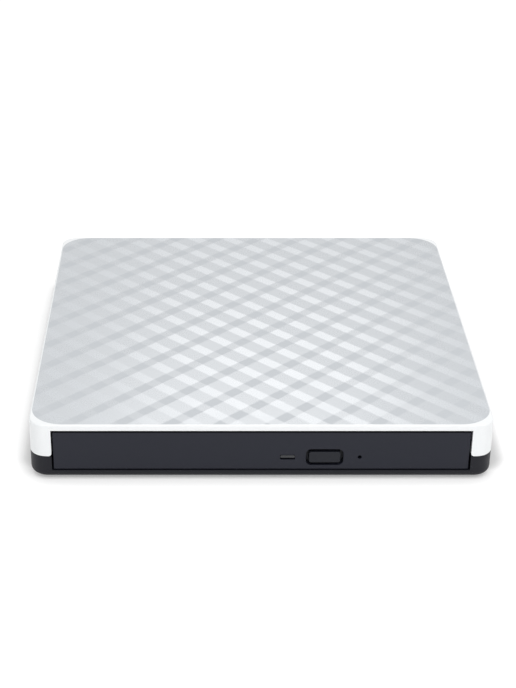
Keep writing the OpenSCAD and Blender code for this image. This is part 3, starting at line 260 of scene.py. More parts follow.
def make_floor():
    mesh = bpy.data.meshes.new("paper_sweep")
    corners = [(-FLOOR_HALF, -FLOOR_HALF, 0), (FLOOR_HALF, -FLOOR_HALF, 0),
               (FLOOR_HALF, FLOOR_HALF, 0), (-FLOOR_HALF, FLOOR_HALF, 0)]
    mesh.from_pydata(corners, [], [(0, 1, 2, 3)])
    floor = bpy.data.objects.new("paper_sweep", mesh)
    bpy.context.scene.collection.objects.link(floor)
    material, tree, shader = start_material("white_paper", specular=0.0)
    low, high = cad_box
    # Painted shadow: the paper's colour is darkened close to the case.
    shade = PAPER_TONE
    for tone, low_shift, high_shift in PAINTED_CONTACT_SHADOWS:
        shade = calc(tree, "MINIMUM", shade, painted_contact_shadow(tree, low + low_shift, high + high_shift, tone))
    feed(tree, shader.inputs["Base Color"], shade)
    shader.inputs["Roughness"].default_value = 1.0
    shader.inputs["Emission Color"].default_value = (1, 1, 1, 1)
    lift = stretch(tree, beyond_corners(tree, low, high, 0.0), FLOOR_LIFT["from"], FLOOR_LIFT["to"],
                   FLOOR_LIFT["near"], FLOOR_LIFT["far"], True)
    feed(tree, shader.inputs["Emission Strength"], calc(tree, "MULTIPLY", seen_directly(tree), lift))
    mesh.materials.append(material)
    return floor


def make_lamp(name, place, target, size, power):
    data = bpy.data.lights.new(name, "AREA")
    data.shape = "RECTANGLE"
    data.size, data.size_y = size
    data.energy = power
    lamp = bpy.data.objects.new(name, data)
    lamp.location = place
    lamp.rotation_euler = (Vector(target) - Vector(place)).to_track_quat("-Z", "Y").to_euler()
    bpy.context.scene.collection.objects.link(lamp)
    return lamp


def make_room():
    world = bpy.data.worlds.new("white_room")
    world.use_nodes = True
    tree = world.node_tree
    background = tree.nodes["Background"]
    background.inputs["Color"].default_value = (1, 1, 1, 1)
    level = stretch(tree, seen_directly(tree), 0.0, 1.0, ROOM_LEVEL, 1.0)
    feed(tree, background.inputs["Strength"], level)
    bpy.context.scene.world = world


bpy.context.scene.view_settings.view_transform = "Standard"
make_floor()
make_room()
lamps = [
    make_lamp("overhead_softbox", (0.06, -0.36, 0.50), (0, 0, 0), (0.5, 0.5), 2.0),
    make_lamp("rear_glint", (0.045, 0.8, 0.505), (0, -0.04, 0.02), (0.24, 0.12), 0.8),
]
print("studio:", len(lamps), "lamps, room level", ROOM_LEVEL)

# %% [markdown]
# ## Shared effects
# Plastic and rubber share one fine surface, metal has another, and the plaid uses one kind of band twice.
# Each is built once as a group. The two surfaces put out a height for relief, a roughness and a shade to
# multiply the colour. The stripe set puts out where its light bands are.

# %% Moulded grain
PATCH_SIZE = 0.011


def build_moulded_grain():
    group, enter, leave = start_group(
        "moulded_grain",
        {"Grain": 0.0003, "Roughness": 0.45, "Spread": 0.08, "Mottle": 0.03},
        ("Height", "Roughness", "Shade"),
    )
    tree = group
    place = own_place(tree)
    grain = noise(tree, place, enter["Grain"], 1.0)
    patch = noise(tree, place, PATCH_SIZE, 3.0)
    feed(tree, leave["Height"], grain)
    drift = calc(tree, "MULTIPLY", calc(tree, "SUBTRACT", patch, 0.5), enter["Spread"])
    fleck = calc(tree, "MULTIPLY", calc(tree, "SUBTRACT", grain, 0.5), enter["Spread"])
    rough = calc(tree, "ADD", enter["Roughness"], calc(tree, "ADD", drift, fleck))
    feed(tree, leave["Roughness"], rough)
    tone = calc(tree, "MULTIPLY", calc(tree, "SUBTRACT", patch, 0.5), enter["Mottle"])
    feed(tree, leave["Shade"], calc(tree, "ADD", 1.0, tone))
    return group


moulded_grain = build_moulded_grain()
print("group:", moulded_grain.name)

# %% Drawn steel
CLOUD_SIZE = 0.014
STEEL_MOTTLE = 0.16


def build_drawn_steel():
    """Rolling lines, long where Stretch is small, with a slow cloud of brighter and duller areas."""
    group, enter, leave = start_group(
        "drawn_steel",
        {"Line": 0.00012, "Stretch": (0.02, 1.0, 1.0), "Roughness": 0.32, "Spread": 0.12},
        ("Height", "Roughness", "Shade"),
    )
    tree = group
    squeeze = tree.nodes.new("ShaderNodeVectorMath")
    squeeze.operation = "MULTIPLY"
    feed(tree, squeeze.inputs[0], own_place(tree))
    feed(tree, squeeze.inputs[1], enter["Stretch"])
    lines = noise(tree, squeeze.outputs["Vector"], enter["Line"], 2.0)
    cloud = noise(tree, own_place(tree), CLOUD_SIZE, 2.0)
    feed(tree, leave["Height"], lines)
    both = calc(tree, "ADD", calc(tree, "SUBTRACT", lines, 0.5), calc(tree, "SUBTRACT", cloud, 0.5))
    feed(tree, leave["Roughness"], calc(tree, "MULTIPLY_ADD", both, enter["Spread"], enter["Roughness"]))
    feed(tree, leave["Shade"], calc(tree, "MULTIPLY_ADD", both, STEEL_MOTTLE, 1.0))
    return group


drawn_steel = build_drawn_steel()
print("group:", drawn_steel.name)


# %% Stripe set
def build_stripe_set():
    """One set of straight bands across the top: 1 on the light bands, 0 on the dark ones."""
    group, enter, leave = start_group(
        "stripe_set",
        {"Across": (0.7071, 0.7071, 0.0), "Pitch": 0.01, "Dark from": 0.1, "Dark to": 0.6,
         "Soft edge": 0.025},
        ("Light",),
    )
    tree = group
    along = tree.nodes.new("ShaderNodeVectorMath")
    along.operation = "DOT_PRODUCT"
    feed(tree, along.inputs[0], own_place(tree))
    feed(tree, along.inputs[1], enter["Across"])
    turns = calc(tree, "DIVIDE", along.outputs["Value"], enter["Pitch"])
    phase = calc(tree, "FLOORED_MODULO", turns, 1.0)
    half_edge = calc(tree, "MULTIPLY", enter["Soft edge"], 0.5)
    falls = stretch(tree, phase, calc(tree, "SUBTRACT", enter["Dark from"], half_edge),
                    calc(tree, "ADD", enter["Dark from"], half_edge), 1.0, 0.0, True)
    rises = stretch(tree, phase, calc(tree, "SUBTRACT", enter["Dark to"], half_edge),
                    calc(tree, "ADD", enter["Dark to"], half_edge), 0.0, 1.0, True)
    feed(tree, leave["Light"], calc(tree, "MAXIMUM", falls, rises))
    return group


stripe_set = build_stripe_set()
print("group:", stripe_set.name)

# %% [markdown]
# ## Plaid top cover
# The white cover carries a pale grey plaid: two sets of bands at 45 degrees, one a little wider than the
# other. The inks are close in tone, and most of the contrast comes from their gloss: where two light bands
# cross, the film is smooth and catches the lamp behind, and where two dark ones cross, it is matt. The other
# bands are embossed with fine lines that lean a little to the side and to the back, so their glint sits
# nearer the front edge. The print stops half a millimetre inside the edge, with larger corners than the
# case, and leaves a white rim.

# %% Plaid cover
COVER_WHITE = srgb(240, 242, 243)
PLAID_DARK = srgb(194, 198, 202)
PLAID_MIDDLE = srgb(195, 199, 203)
PLAID_LIGHT = srgb(200, 204, 208)
FALLING_BANDS = {"Across": (0.70711, 0.70711, 0), "Pitch": 0.00907, "Dark from": 0.08, "Dark to": 0.655}
RISING_BANDS = {"Across": (-0.70711, 0.70711, 0), "Pitch": 0.011095, "Dark from": 0.0975, "Dark to": 0.425}
RIM_ROUGHNESS = 0.36
MATT_ROUGHNESS = 0.66
BAND_POLISH = 0.38
CROSSING_POLISH = 0.385
BAND_LEAN = 0.035
BAND_TILT = 0.06
PRINT_INSET = 0.0005
PRINT_CORNER = 0.010
PRINT_EDGE = 0.0001
TOP_SKIN = 0.00005


def printed_area(tree, low, high):
    """1 inside the printed rounded rectangle on the flat top, 0 on the rim and the sides."""
    away = beyond_corners(tree, low, high, PRINT_INSET + PRINT_CORNER)
    inside = stretch(tree, away, PRINT_CORNER - PRINT_EDGE, PRINT_CORNER, 1.0, 0.0)
    split = tree.nodes.new("ShaderNodeSeparateXYZ")
    feed(tree, split.inputs["Vector"], own_place(tree))
    on_top = calc(tree, "GREATER_THAN", split.outputs["Z"], high.z - TOP_SKIN)
    return calc(tree, "MULTIPLY", inside, on_top)


def lean_normal(tree, aside, back):
    """The surface normal, tipped to the side and to the back by amounts that change over the print."""
    tip = tree.nodes.new("ShaderNodeCombineXYZ")
    feed(tree, tip.inputs["X"], aside)
    feed(tree, tip.inputs["Y"], back)
    total = tree.nodes.new("ShaderNodeVectorMath")
    feed(tree, total.inputs[0], tree.nodes.new("ShaderNodeNewGeometry").outputs["Normal"])
    feed(tree, total.inputs[1], tip.outputs["Vector"])
    unit = tree.nodes.new("ShaderNodeVectorMath")
    unit.operation = "NORMALIZE"
    feed(tree, unit.inputs[0], total.outputs["Vector"])
    return unit.outputs["Vector"]


def make_plaid_cover():
    low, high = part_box("top_cover")
    material, tree, shader = start_material("plaid_cover", specular=0.45)
    falling = place_group(tree, stripe_set, FALLING_BANDS)["Light"]
    rising = place_group(tree, stripe_set, RISING_BANDS)["Light"]
    area = printed_area(tree, low, high)
    both = calc(tree, "MULTIPLY", falling, rising)
    one = calc(tree, "SUBTRACT", calc(tree, "MAXIMUM", falling, rising), both)
    inks = blend_colours(tree, one, blend_colours(tree, both, PLAID_DARK, PLAID_LIGHT), PLAID_MIDDLE)
    feed(tree, shader.inputs["Base Color"], blend_colours(tree, area, COVER_WHITE, inks))
    grain = place_group(tree, moulded_grain, {"Grain": 0.0004, "Roughness": MATT_ROUGHNESS, "Spread": 0.05})
    on_bands = calc(tree, "MULTIPLY", one, BAND_POLISH)
    on_crossings = calc(tree, "MULTIPLY", both, CROSSING_POLISH)
    polish = calc(tree, "ADD", on_bands, on_crossings)
    printed = calc(tree, "SUBTRACT", grain["Roughness"], polish)
    rim = calc(tree, "ADD", grain["Roughness"], RIM_ROUGHNESS - MATT_ROUGHNESS)
    feed(tree, shader.inputs["Roughness"], stretch(tree, area, 0.0, 1.0, rim, printed))
    which = calc(tree, "SUBTRACT", rising, falling)
    side = calc(tree, "MULTIPLY", which, calc(tree, "MULTIPLY", area, BAND_LEAN))
    back = calc(tree, "MULTIPLY", one, calc(tree, "MULTIPLY", area, BAND_TILT))
    feed(tree, shader.inputs["Normal"], lean_normal(tree, side, back))
    return material


plaid_cover = make_plaid_cover()
print("finish:", plaid_cover.name)

# %% [markdown]
# ## Plastics and rubber
# Black and charcoal mouldings differ mostly in tone and in how fine their spark-eroded texture is. One
# function makes them all, and each finish gives its own colour, grain and gloss. The bezel adds a painted
# shade along its upper edge, black where the slit under the cover lies in shadow.

# %% Plastics
BEZEL_SLIT = 0.0003
# Colour of the painted shade along the bezel's upper edge.
PAINTED_SLIT_SHADE = srgb(18, 18, 20)


def moulding(name, colour, grain=0.00035, roughness=0.45, spread=0.1, depth=0.00001, specular=0.4,
             mottle=0.06):
    material, tree, shader = start_material(name, specular=specular)
    effect = place_group(tree, moulded_grain,
                         {"Grain": grain, "Roughness": roughness, "Spread": spread, "Mottle": mottle})
    apply_effect(tree, shader, colour, effect, depth)
    return material


def bezel_with_painted_shade():
    """Charcoal, with painted shade along the upper front edge: black and metallic there, so no light comes
    back, as from the slit under the cover.
    """
    low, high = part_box("tray_bezel")
    material = moulding("bezel_charcoal", srgb(29, 31, 41), grain=0.0003, roughness=0.46, depth=0.000006,
                        specular=0.25)
    tree = material.node_tree
    shader = tree.nodes["Principled BSDF"]
    split = tree.nodes.new("ShaderNodeSeparateXYZ")
    feed(tree, split.inputs["Vector"], own_place(tree))
    upper = stretch(tree, split.outputs["Z"], high.z - BEZEL_SLIT, high.z - BEZEL_SLIT / 2, 0.0, 1.0, True)
    front = stretch(tree, split.outputs["Y"], low.y + 2 * BEZEL_SLIT, low.y + 4 * BEZEL_SLIT, 1.0, 0.0, True)
    # Painted shade: the top front edge is made black and metallic, standing in for the shadow in the slit
    # under the cover.
    edge = calc(tree, "MULTIPLY", upper, front)
    tint = shader.inputs["Base Color"].links[0].from_socket
    feed(tree, shader.inputs["Base Color"], blend_colours(tree, edge, tint, PAINTED_SLIT_SHADE))
    feed(tree, shader.inputs["Metallic"], edge)
    return material


black_shell = moulding("black_shell", srgb(20, 21, 28), grain=0.00045, roughness=0.5, specular=0.25)
bezel_charcoal = bezel_with_painted_shade()
button_charcoal = moulding("button_charcoal", srgb(26, 28, 35), grain=0.0003, roughness=0.42, depth=0.000005,
                           specular=0.25)
tray_black = moulding("tray_black", srgb(30, 30, 32), grain=0.0004, roughness=0.52)
guide_black = moulding("guide_black", srgb(26, 26, 27), grain=0.0005, roughness=0.36)
chip_black = moulding("chip_black", srgb(24, 24, 26), grain=0.0002, roughness=0.55)
pawl_grey = moulding("pawl_grey", srgb(66, 67, 70), grain=0.0003, roughness=0.38)
ivory_nylon = moulding("ivory_nylon", srgb(214, 208, 192), grain=0.0004, roughness=0.5)
black_rubber = moulding("black_rubber", srgb(24, 24, 24), grain=0.0002, roughness=0.85, depth=0.00002,
                        specular=0.2)
smoked_lamp = moulding("smoked_lamp", srgb(52, 53, 56), grain=0.0006, roughness=0.25, depth=0.000003)
milky_lamp = moulding("milky_lamp", srgb(226, 226, 214), grain=0.0006, roughness=0.3, depth=0.000003)
print("finishes: 11 mouldings")

# %% [markdown]
# ## Metals
# The drive box is galvanised sheet with rolling lines. Rails and the rotor are brighter, the guide rods are
# ground and polished, the pickup is die cast, the windings are lacquered copper wire, and the contacts are
# plated with gold. The lines of each metal run its own way.

# %% Metals
ALONG_X = (0.02, 1.0, 1.0)
ALONG_Y = (1.0, 0.02, 1.0)
ALONG_Z = (1.0, 1.0, 0.05)
LYING_FLAT = (0.03, 0.03, 1.0)
NO_LINES = (1.0, 1.0, 1.0)


def sheet_metal(name, colour, line=0.00012, roughness=0.32, spread=0.12, run=ALONG_X, depth=0.000003):
    material, tree, shader = start_material(name, metallic=1.0)
    effect = place_group(tree, drawn_steel,
                         {"Line": line, "Stretch": run, "Roughness": roughness, "Spread": spread})
    apply_effect(tree, shader, colour, effect, depth)
    return material


galvanised = sheet_metal("galvanised", srgb(196, 198, 200), roughness=0.38)
rail_steel = sheet_metal("rail_steel", srgb(206, 207, 209), roughness=0.26, run=ALONG_Y)
bright_steel = sheet_metal("bright_steel", srgb(214, 215, 217), line=0.0002, roughness=0.2, spread=0.08)
rotor_steel = sheet_metal("rotor_steel", srgb(200, 201, 204), roughness=0.24, run=ALONG_Z)
die_cast = sheet_metal("die_cast", srgb(150, 152, 155), line=0.0004, roughness=0.5, run=NO_LINES,
                       depth=0.00001)
copper_wire = sheet_metal("copper_wire", srgb(190, 112, 60), line=0.00016, roughness=0.34, run=LYING_FLAT,
                          depth=0.00003)
gold_plate = sheet_metal("gold_plate", srgb(226, 186, 104), roughness=0.25)
print("finishes: 7 metals")

# %% [markdown]
# ## Circuit board, flat cable and lens
# The boards are green solder resist over copper tracks, which show as slightly lighter lines. The flat
# cable is amber film with dark conductors along it. The lens is clear glass with a faint blue coating.

# %% Board, cable and lens
TRACK_SCALE = 260.0
TRACK_WIDTH = 0.035
HALF_CONDUCTORS_A_METRE = 2000.0
CONDUCTOR_EDGE = (0.42, 0.58)
GLASS_IOR = 1.52
COATING_PATCH = 0.002


def make_board_green():
    material, tree, shader = start_material("board_green", specular=0.5)
    bricks = tree.nodes.new("ShaderNodeTexBrick")
    feed(tree, bricks.inputs["Vector"], own_place(tree))
    feed(tree, bricks.inputs["Scale"], TRACK_SCALE)
    feed(tree, bricks.inputs["Mortar Size"], TRACK_WIDTH)
    feed(tree, bricks.inputs["Color1"], srgb(16, 74, 44))
    feed(tree, bricks.inputs["Color2"], srgb(20, 82, 50))
    feed(tree, bricks.inputs["Mortar"], srgb(46, 118, 74))
    feed(tree, shader.inputs["Base Color"], bricks.outputs["Color"])
    grain = place_group(tree, moulded_grain, {"Grain": 0.0002, "Roughness": 0.32, "Spread": 0.08})
    feed(tree, shader.inputs["Roughness"], grain["Roughness"])
    raise_surface(tree, shader, bricks.outputs["Fac"], 0.00003)
    return material


def make_cable_film():
    material, tree, shader = start_material("cable_film", specular=0.5)
    split = tree.nodes.new("ShaderNodeSeparateXYZ")
    feed(tree, split.inputs["Vector"], own_place(tree))
    halves = calc(tree, "MULTIPLY", split.outputs["X"], HALF_CONDUCTORS_A_METRE)
    across = calc(tree, "PINGPONG", halves, 1.0)
    wire = stretch(tree, across, *CONDUCTOR_EDGE, 0.0, 1.0, True)
    feed(tree, shader.inputs["Base Color"], blend_colours(tree, wire, srgb(176, 112, 40), srgb(112, 66, 26)))
    grain = place_group(tree, moulded_grain, {"Grain": 0.0005, "Roughness": 0.3, "Spread": 0.06})
    feed(tree, shader.inputs["Roughness"], grain["Roughness"])
    raise_surface(tree, shader, wire, 0.00002)
    return material


def make_coated_glass():
    material, tree, shader = start_material("coated_glass", specular=0.5)
    shader.inputs["Transmission Weight"].default_value = 1.0
    shader.inputs["IOR"].default_value = GLASS_IOR
    coating = noise(tree, own_place(tree), COATING_PATCH, 1.0)
    tint = blend_colours(tree, coating, srgb(150, 175, 235), srgb(190, 170, 235))
    feed(tree, shader.inputs["Base Color"], tint)
    feed(tree, shader.inputs["Roughness"], stretch(tree, coating, 0.0, 1.0, 0.02, 0.06))
    return material


board_green, cable_film, coated_glass = make_board_green(), make_cable_film(), make_coated_glass()
print("finishes:", board_green.name, cable_film.name, coated_glass.name)

# %% [markdown]
# ## Dress the solids
# Most solids already have the right shape. Each finish takes the list of nodes that are made of it, and the
# whole table together must name every node once.

# %% Finish of every node
FINISHES = [
    (plaid_cover, ["top_cover"]),
    (black_shell, ["bottom_cover"]),
    (black_rubber, ["rubber_feet", "rubber_dampers", "turntable_pad"]),
    (bezel_charcoal, ["tray_bezel"]),
    (button_charcoal, ["eject_button"]),
    (smoked_lamp, ["light_pipe"]),
    (milky_lamp, ["activity_lamp"]),
    (tray_black, ["disc_tray", "turntable_hub"]),
    (guide_black, ["left_guide", "right_guide", "eject_pusher"]),
    (chip_black, ["bridge_chip", "drive_chips", "tray_chip", "bridge_socket", "drive_plug", "usb_tongue"]),
    (pawl_grey, ["hub_pawl_1", "hub_pawl_2", "hub_pawl_3", "lens_holder"]),
    (ivory_nylon, ["flex_connector", "rack_follower", "latch_lever"]),
    (board_green, ["bridge_board", "drive_board", "front_board", "tray_board"]),
    (galvanised, ["drive_chassis", "drive_lid", "traverse_base", "spindle_base"]),
    (rail_steel, ["left_rail", "right_rail", "pickup_cover"]),
    (rotor_steel, ["spindle_rotor", "sled_motor"]),
    (bright_steel, ["case_screws", "lid_screws", "traverse_screws", "usb_socket", "latch_post", "main_rod",
                    "sub_rod", "spindle_shaft", "solenoid_plunger", "eject_switch", "lead_screw",
                    "eject_spring"]),
    (die_cast, ["pickup_body"]),
    (copper_wire, ["motor_stator", "latch_solenoid"]),
    (cable_film, ["flex_cable"]),
    (coated_glass, ["objective_lens"]),
]


def dress(node, material):
    mesh = nodes[node].data
    mesh.materials.clear()
    mesh.materials.append(material)
    for face in mesh.polygons:
        face.material_index = 0


dressed = [node for material, group in FINISHES for node in group]
assert sorted(dressed) == sorted(nodes), set(nodes) ^ set(dressed)
for material, group in FINISHES:
    for node in group:
        dress(node, material)
print("dressed:", len(dressed), "nodes in", len(FINISHES), "finishes")

# %% [markdown]
# ## Softened edges
# A real moulding or pressing has no knife edges: each edge is rounded by about a tenth of a millimetre, and
# that line of light is what shows its shape. The solids listed here, by the width of their edge, are welded,
# their flat faces are merged, and a bevel rounds every edge that turns by more than 30 degrees.

# %% Softened edges
WELD_GAP = 0.000001
FLAT_ANGLE = math.radians(1)
SHARP_ANGLE = math.radians(30)
EDGE_SEGMENTS = 2
SOFT_EDGES = {
    0.00022: ["eject_button", "light_pipe", "rubber_feet"],
    0.00012: ["disc_tray", "turntable_hub", "usb_tongue", "pickup_body", "pickup_cover", "sled_motor",
              "latch_lever", "eject_pusher", "flex_connector", "tray_chip", "rack_follower"],
    0.00008: ["tray_bezel", "usb_socket", "left_rail", "right_rail", "traverse_base", "spindle_rotor"],
}


def soften(node, width):
    piece = nodes[node]
    piece.modifiers.new("weld", "WELD").merge_threshold = WELD_GAP
    flat = piece.modifiers.new("flat_faces", "DECIMATE")
    flat.decimate_type = "DISSOLVE"
    flat.angle_limit = FLAT_ANGLE
    bevel = piece.modifiers.new("soft_edge", "BEVEL")
    bevel.width = width
    bevel.segments = EDGE_SEGMENTS
    bevel.limit_method = "ANGLE"
    bevel.angle_limit = SHARP_ANGLE
    bevel.use_clamp_overlap = True
    bevel.harden_normals = True


for width, group in SOFT_EDGES.items():
    for node in group:
        soften(node, width)
print("softened:", sum(len(group) for group in SOFT_EDGES.values()), "nodes")

# %% [markdown]
# ## Helpers for new pieces
# Screws, springs and ribbons are all skins over a row of rings: each ring is a loop of points, and the skin
# joins one ring to the next, as a sleeve is pulled over hoops.


# %% Piece helpers
def finish_mesh(name, mesh, material, smooth):
    bmesh.ops.recalc_face_normals(mesh, faces=mesh.faces)
    data = bpy.data.meshes.new(name)
    mesh.to_mesh(data)
    mesh.free()
    data.materials.append(material)
    for face in data.polygons:
        face.use_smooth = smooth
    piece = bpy.data.objects.new(name, data)
    bpy.context.scene.collection.objects.link(piece)
    return piece


def add_skin(mesh, rings):
    loops = [[mesh.verts.new(point) for point in ring] for ring in rings]
    for low, high in zip(loops, loops[1:]):
        for i, corner in enumerate(low):
            j = (i + 1) % len(low)
            mesh.faces.new((corner, low[j], high[j], high[i]))
    mesh.faces.new(list(reversed(loops[0])))
    mesh.faces.new(loops[-1])


def skin(name, rings, material, smooth=True):
    mesh = bmesh.new()
    add_skin(mesh, rings)
    return finish_mesh(name, mesh, material, smooth)


def blocks(name, boxes, material, edge):
    """Many small blocks in one piece, each given by two corners, with rounded edges."""
    mesh = bmesh.new()
    for low, high in boxes:
        corners = [mesh.verts.new((x, y, z)) for z in (low[2], high[2])
                   for x, y in ((low[0], low[1]), (high[0], low[1]), (high[0], high[1]), (low[0], high[1]))]
        for face in ((0, 1, 2, 3), (4, 5, 6, 7), (0, 1, 5, 4), (1, 2, 6, 5), (2, 3, 7, 6), (3, 0, 4, 7)):
            mesh.faces.new([corners[i] for i in face])
    piece = finish_mesh(name, mesh, material, False)
    bevel = piece.modifiers.new("soft_edge", "BEVEL")
    bevel.width = edge
    bevel.segments = EDGE_SEGMENTS
    return piece


print("piece helpers ready")

# %% [markdown]
# ## Lead screw
# The sled motor turns a rolled screw, and a follower in its groove moves the pickup 3 mm a turn. The solid
# is plain, so the piece adds the thread: at each step along the axis the radius of the ring swells where
# the groove isn't. Two starts give the open, fast pitch of such screws.

# %% Lead screw
SCREW_LEAD = 0.003
SCREW_STARTS = 2
SCREW_JOURNAL = 0.0008
SCREW_ROOT = 0.00092
SCREW_NECKS = (0.003, 0.0024)
SCREW_FLANK = 1.1
SCREW_STEPS = 400
SCREW_SIDES = 24


def make_lead_screw_thread():
    low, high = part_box("lead_screw")
    crest = (high.z - low.z) / 2
    inset = SCREW_JOURNAL / math.sqrt(2)
    first = Vector((high.x - inset, high.y - inset, (low.z + high.z) / 2))
    last = Vector((low.x + inset, low.y + inset, first.z))
    length = (last - first).length
    along = (last - first) / length
    side = along.cross(Vector((0, 0, 1)))
    rings = []
    for step in range(SCREW_STEPS + 1):
        reach = length * step / SCREW_STEPS
        ring = []
        for i in range(SCREW_SIDES):
            angle = math.tau * i / SCREW_SIDES
            wave = math.cos(SCREW_STARTS * (math.tau * reach / SCREW_LEAD - angle))
            radius = SCREW_ROOT + (crest - SCREW_ROOT) * min(1, max(0, 0.5 + SCREW_FLANK * wave))
            if reach < SCREW_NECKS[0] or reach > length - SCREW_NECKS[1]:
                radius = SCREW_JOURNAL
            spoke = side * math.cos(angle) + Vector((0, 0, 1)) * math.sin(angle)
            ring.append(first + along * reach + spoke * radius)
        rings.append(ring)
    piece = skin("lead_screw_thread", rings, bright_steel)
    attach(piece, "screw")
    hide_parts("lead_screw")
    return piece


lead_screw_thread = make_lead_screw_thread()
print("made:", lead_screw_thread.name, len(lead_screw_thread.data.polygons), "faces")

# %% [markdown]
# ## Flat cable
# An amber ribbon joins the board in the case to the board on the tray. It lies folded under the tray, with
# its lower leg on the floor of the box and its upper leg above it. The fold keeps its place here, where on a
# real drive it rolls forward by half the way.

# %% Flat cable
CABLE_WIDTH = 0.008
CABLE_THICK = 0.0002
CABLE_FOLD_R = 0.0008
CABLE_UPPER_END = 0.0417
CABLE_STEP_X = 0.03918
LOWER_STEPS, FOLD_STEPS, UPPER_STEPS = 8, 12, 40


def ribbon(name, centres, across, width):
    """A flat strip along a row of points, all of its cross lines lying along across."""
    rings = []
    for i, centre in enumerate(centres):
        ahead = centres[min(i + 1, len(centres) - 1)] - centres[max(i - 1, 0)]
        up = across.cross(ahead).normalized() * (CABLE_THICK / 2)
        out = across * (width / 2)
        rings.append([centre - out - up, centre + out - up, centre + out + up, centre - out + up])
    return skin(name, rings, cable_film, smooth=False)


def make_flat_cable():
    low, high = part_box("flex_cable")
    mid_x = low.x + CABLE_WIDTH / 2
    floor_z = low.z + CABLE_THICK / 2
    top_z = floor_z + 2 * CABLE_FOLD_R
    fold_y = low.y + CABLE_FOLD_R + CABLE_THICK / 2
    lower = [Vector((mid_x, high.y + (fold_y - high.y) * i / LOWER_STEPS, floor_z))
             for i in range(LOWER_STEPS + 1)]
    fold = []
    for i in range(1, FOLD_STEPS):
        turn = math.pi * i / FOLD_STEPS
        front = fold_y - CABLE_FOLD_R * math.sin(turn)
        fold.append(Vector((mid_x, front, floor_z + CABLE_FOLD_R * (1 - math.cos(turn)))))
    upper = [Vector((mid_x, fold_y + (CABLE_UPPER_END - fold_y) * i / UPPER_STEPS, top_z))
             for i in range(UPPER_STEPS + 1)]
    cable = ribbon("flat_cable", lower + fold + upper, Vector((1, 0, 0)), CABLE_WIDTH)
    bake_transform(cable)
    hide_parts("flex_cable")
    mid_y = high.y - CABLE_WIDTH / 2
    plug_z = high.z - CABLE_THICK / 2
    corners = [(low.x + CABLE_WIDTH, floor_z), (CABLE_STEP_X, floor_z), (CABLE_STEP_X, plug_z),
               (high.x, plug_z)]
    centres = [Vector((x, mid_y, z)) for x, z in corners]
    tail = ribbon("flat_cable_tail", centres, Vector((0, 1, 0)), CABLE_WIDTH)
    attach(tail, "case")
    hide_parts("flex_cable")
    return cable, tail


cable_pieces = make_flat_cable()
print("made:", [piece.name for piece in cable_pieces])

# %% [markdown]
# ## Eject spring
# A coil spring behind the pusher throws the tray out by a finger's width. Its end turns lie closed, as on a
# cut and ground spring. It stretches between the tray and the pusher.

# %% Eject spring
SPRING_TURNS = 10
SPRING_WIRE = 0.00025
SPRING_CLOSED = 0.09
SPRING_CLOSED_RISE = 0.12
STEPS_A_TURN = 28
WIRE_SIDES = 8


def make_eject_spring_coil():
    low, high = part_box("eject_spring")
    radius = (high.x - low.x) / 2 - SPRING_WIRE
    mid_x, mid_z = (low.x + high.x) / 2, (low.z + high.z) / 2
    near, far = low.y + SPRING_WIRE, high.y - SPRING_WIRE
    steps = SPRING_TURNS * STEPS_A_TURN
    rings = []
    for step in range(steps + 1):
        share = step / steps
        angle = math.tau * SPRING_TURNS * share
        open_share = min(1, max(0, (share - SPRING_CLOSED) / (1 - 2 * SPRING_CLOSED)))
        closed = SPRING_CLOSED_RISE * (share - open_share)
        spoke = Vector((math.cos(angle), 0, math.sin(angle)))
        centre = Vector((mid_x, near + (far - near) * (open_share + closed), mid_z)) + spoke * radius
        rings.append([centre + (spoke * math.cos(turn) + Vector((0, 1, 0)) * math.sin(turn)) * SPRING_WIRE
                      for turn in (math.tau * i / WIRE_SIDES for i in range(WIRE_SIDES))])
    piece = skin("eject_spring_coil", rings, bright_steel)
    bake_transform(piece)
    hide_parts("eject_spring")
    return piece


eject_spring_coil = make_eject_spring_coil()
print("made:", eject_spring_coil.name)

# %% [markdown]
# ## Shield under the pickup
# A thin black pan hangs under the window of the tray and keeps dust off the pickup from below. It is pressed
# from sheet: a floor with rounded corners, a low rim that stiffens it and two long ribs. Four pads carry it
# on the brackets of the guide rods. It lies along the way of the pickup, at 45 degrees to the tray.

# %% Pickup shield
SHIELD_ENDS = (0.0095, 0.0662)
SHIELD_HALF = 0.0172
SHIELD_CORNER = 0.003
SHIELD_WALL = 0.0004
SHIELD_FLOOR, SHIELD_SHEET, SHIELD_RIM = 0.0048, 0.00495, 0.00508
RIB_INSETS = (0.006, 0.004)
RIB_SIDES = (-0.006, 0.006)
RIB_HALF = 0.001
RIB_CORNER = 0.0009
PAD_TOP = 0.0053
PAD_SPOTS = [(along, side * 0.014) for along in (0.0117, 0.0634) for side in (-1, 1)]
PAD_HALF = (0.001, 0.0015)
PAD_CORNER = 0.0006
CORNER_STEPS = 6


def slanted_outline(first, last, low_side, high_side, corner, z):
    """A rounded rectangle along the way of the pickup, measured from the axis of the disc."""
    low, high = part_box("spindle_shaft")
    along, aside = Vector((-1, -1, 0)).normalized(), Vector((1, -1, 0)).normalized()
    axis = Vector(((low.x + high.x) / 2, (low.y + high.y) / 2, z))
    points = []
    ends = ((last, high_side), (first, high_side), (first, low_side), (last, low_side))
    for quarter, (far, wide) in enumerate(ends):
        far += corner if far == first else -corner
        wide += corner if wide == low_side else -corner
        for step in range(CORNER_STEPS + 1):
            turn = math.pi / 2 * (quarter + step / CORNER_STEPS)
            way = along * (far + corner * math.cos(turn))
            points.append(axis + way + aside * (wide + corner * math.sin(turn)))
    return points


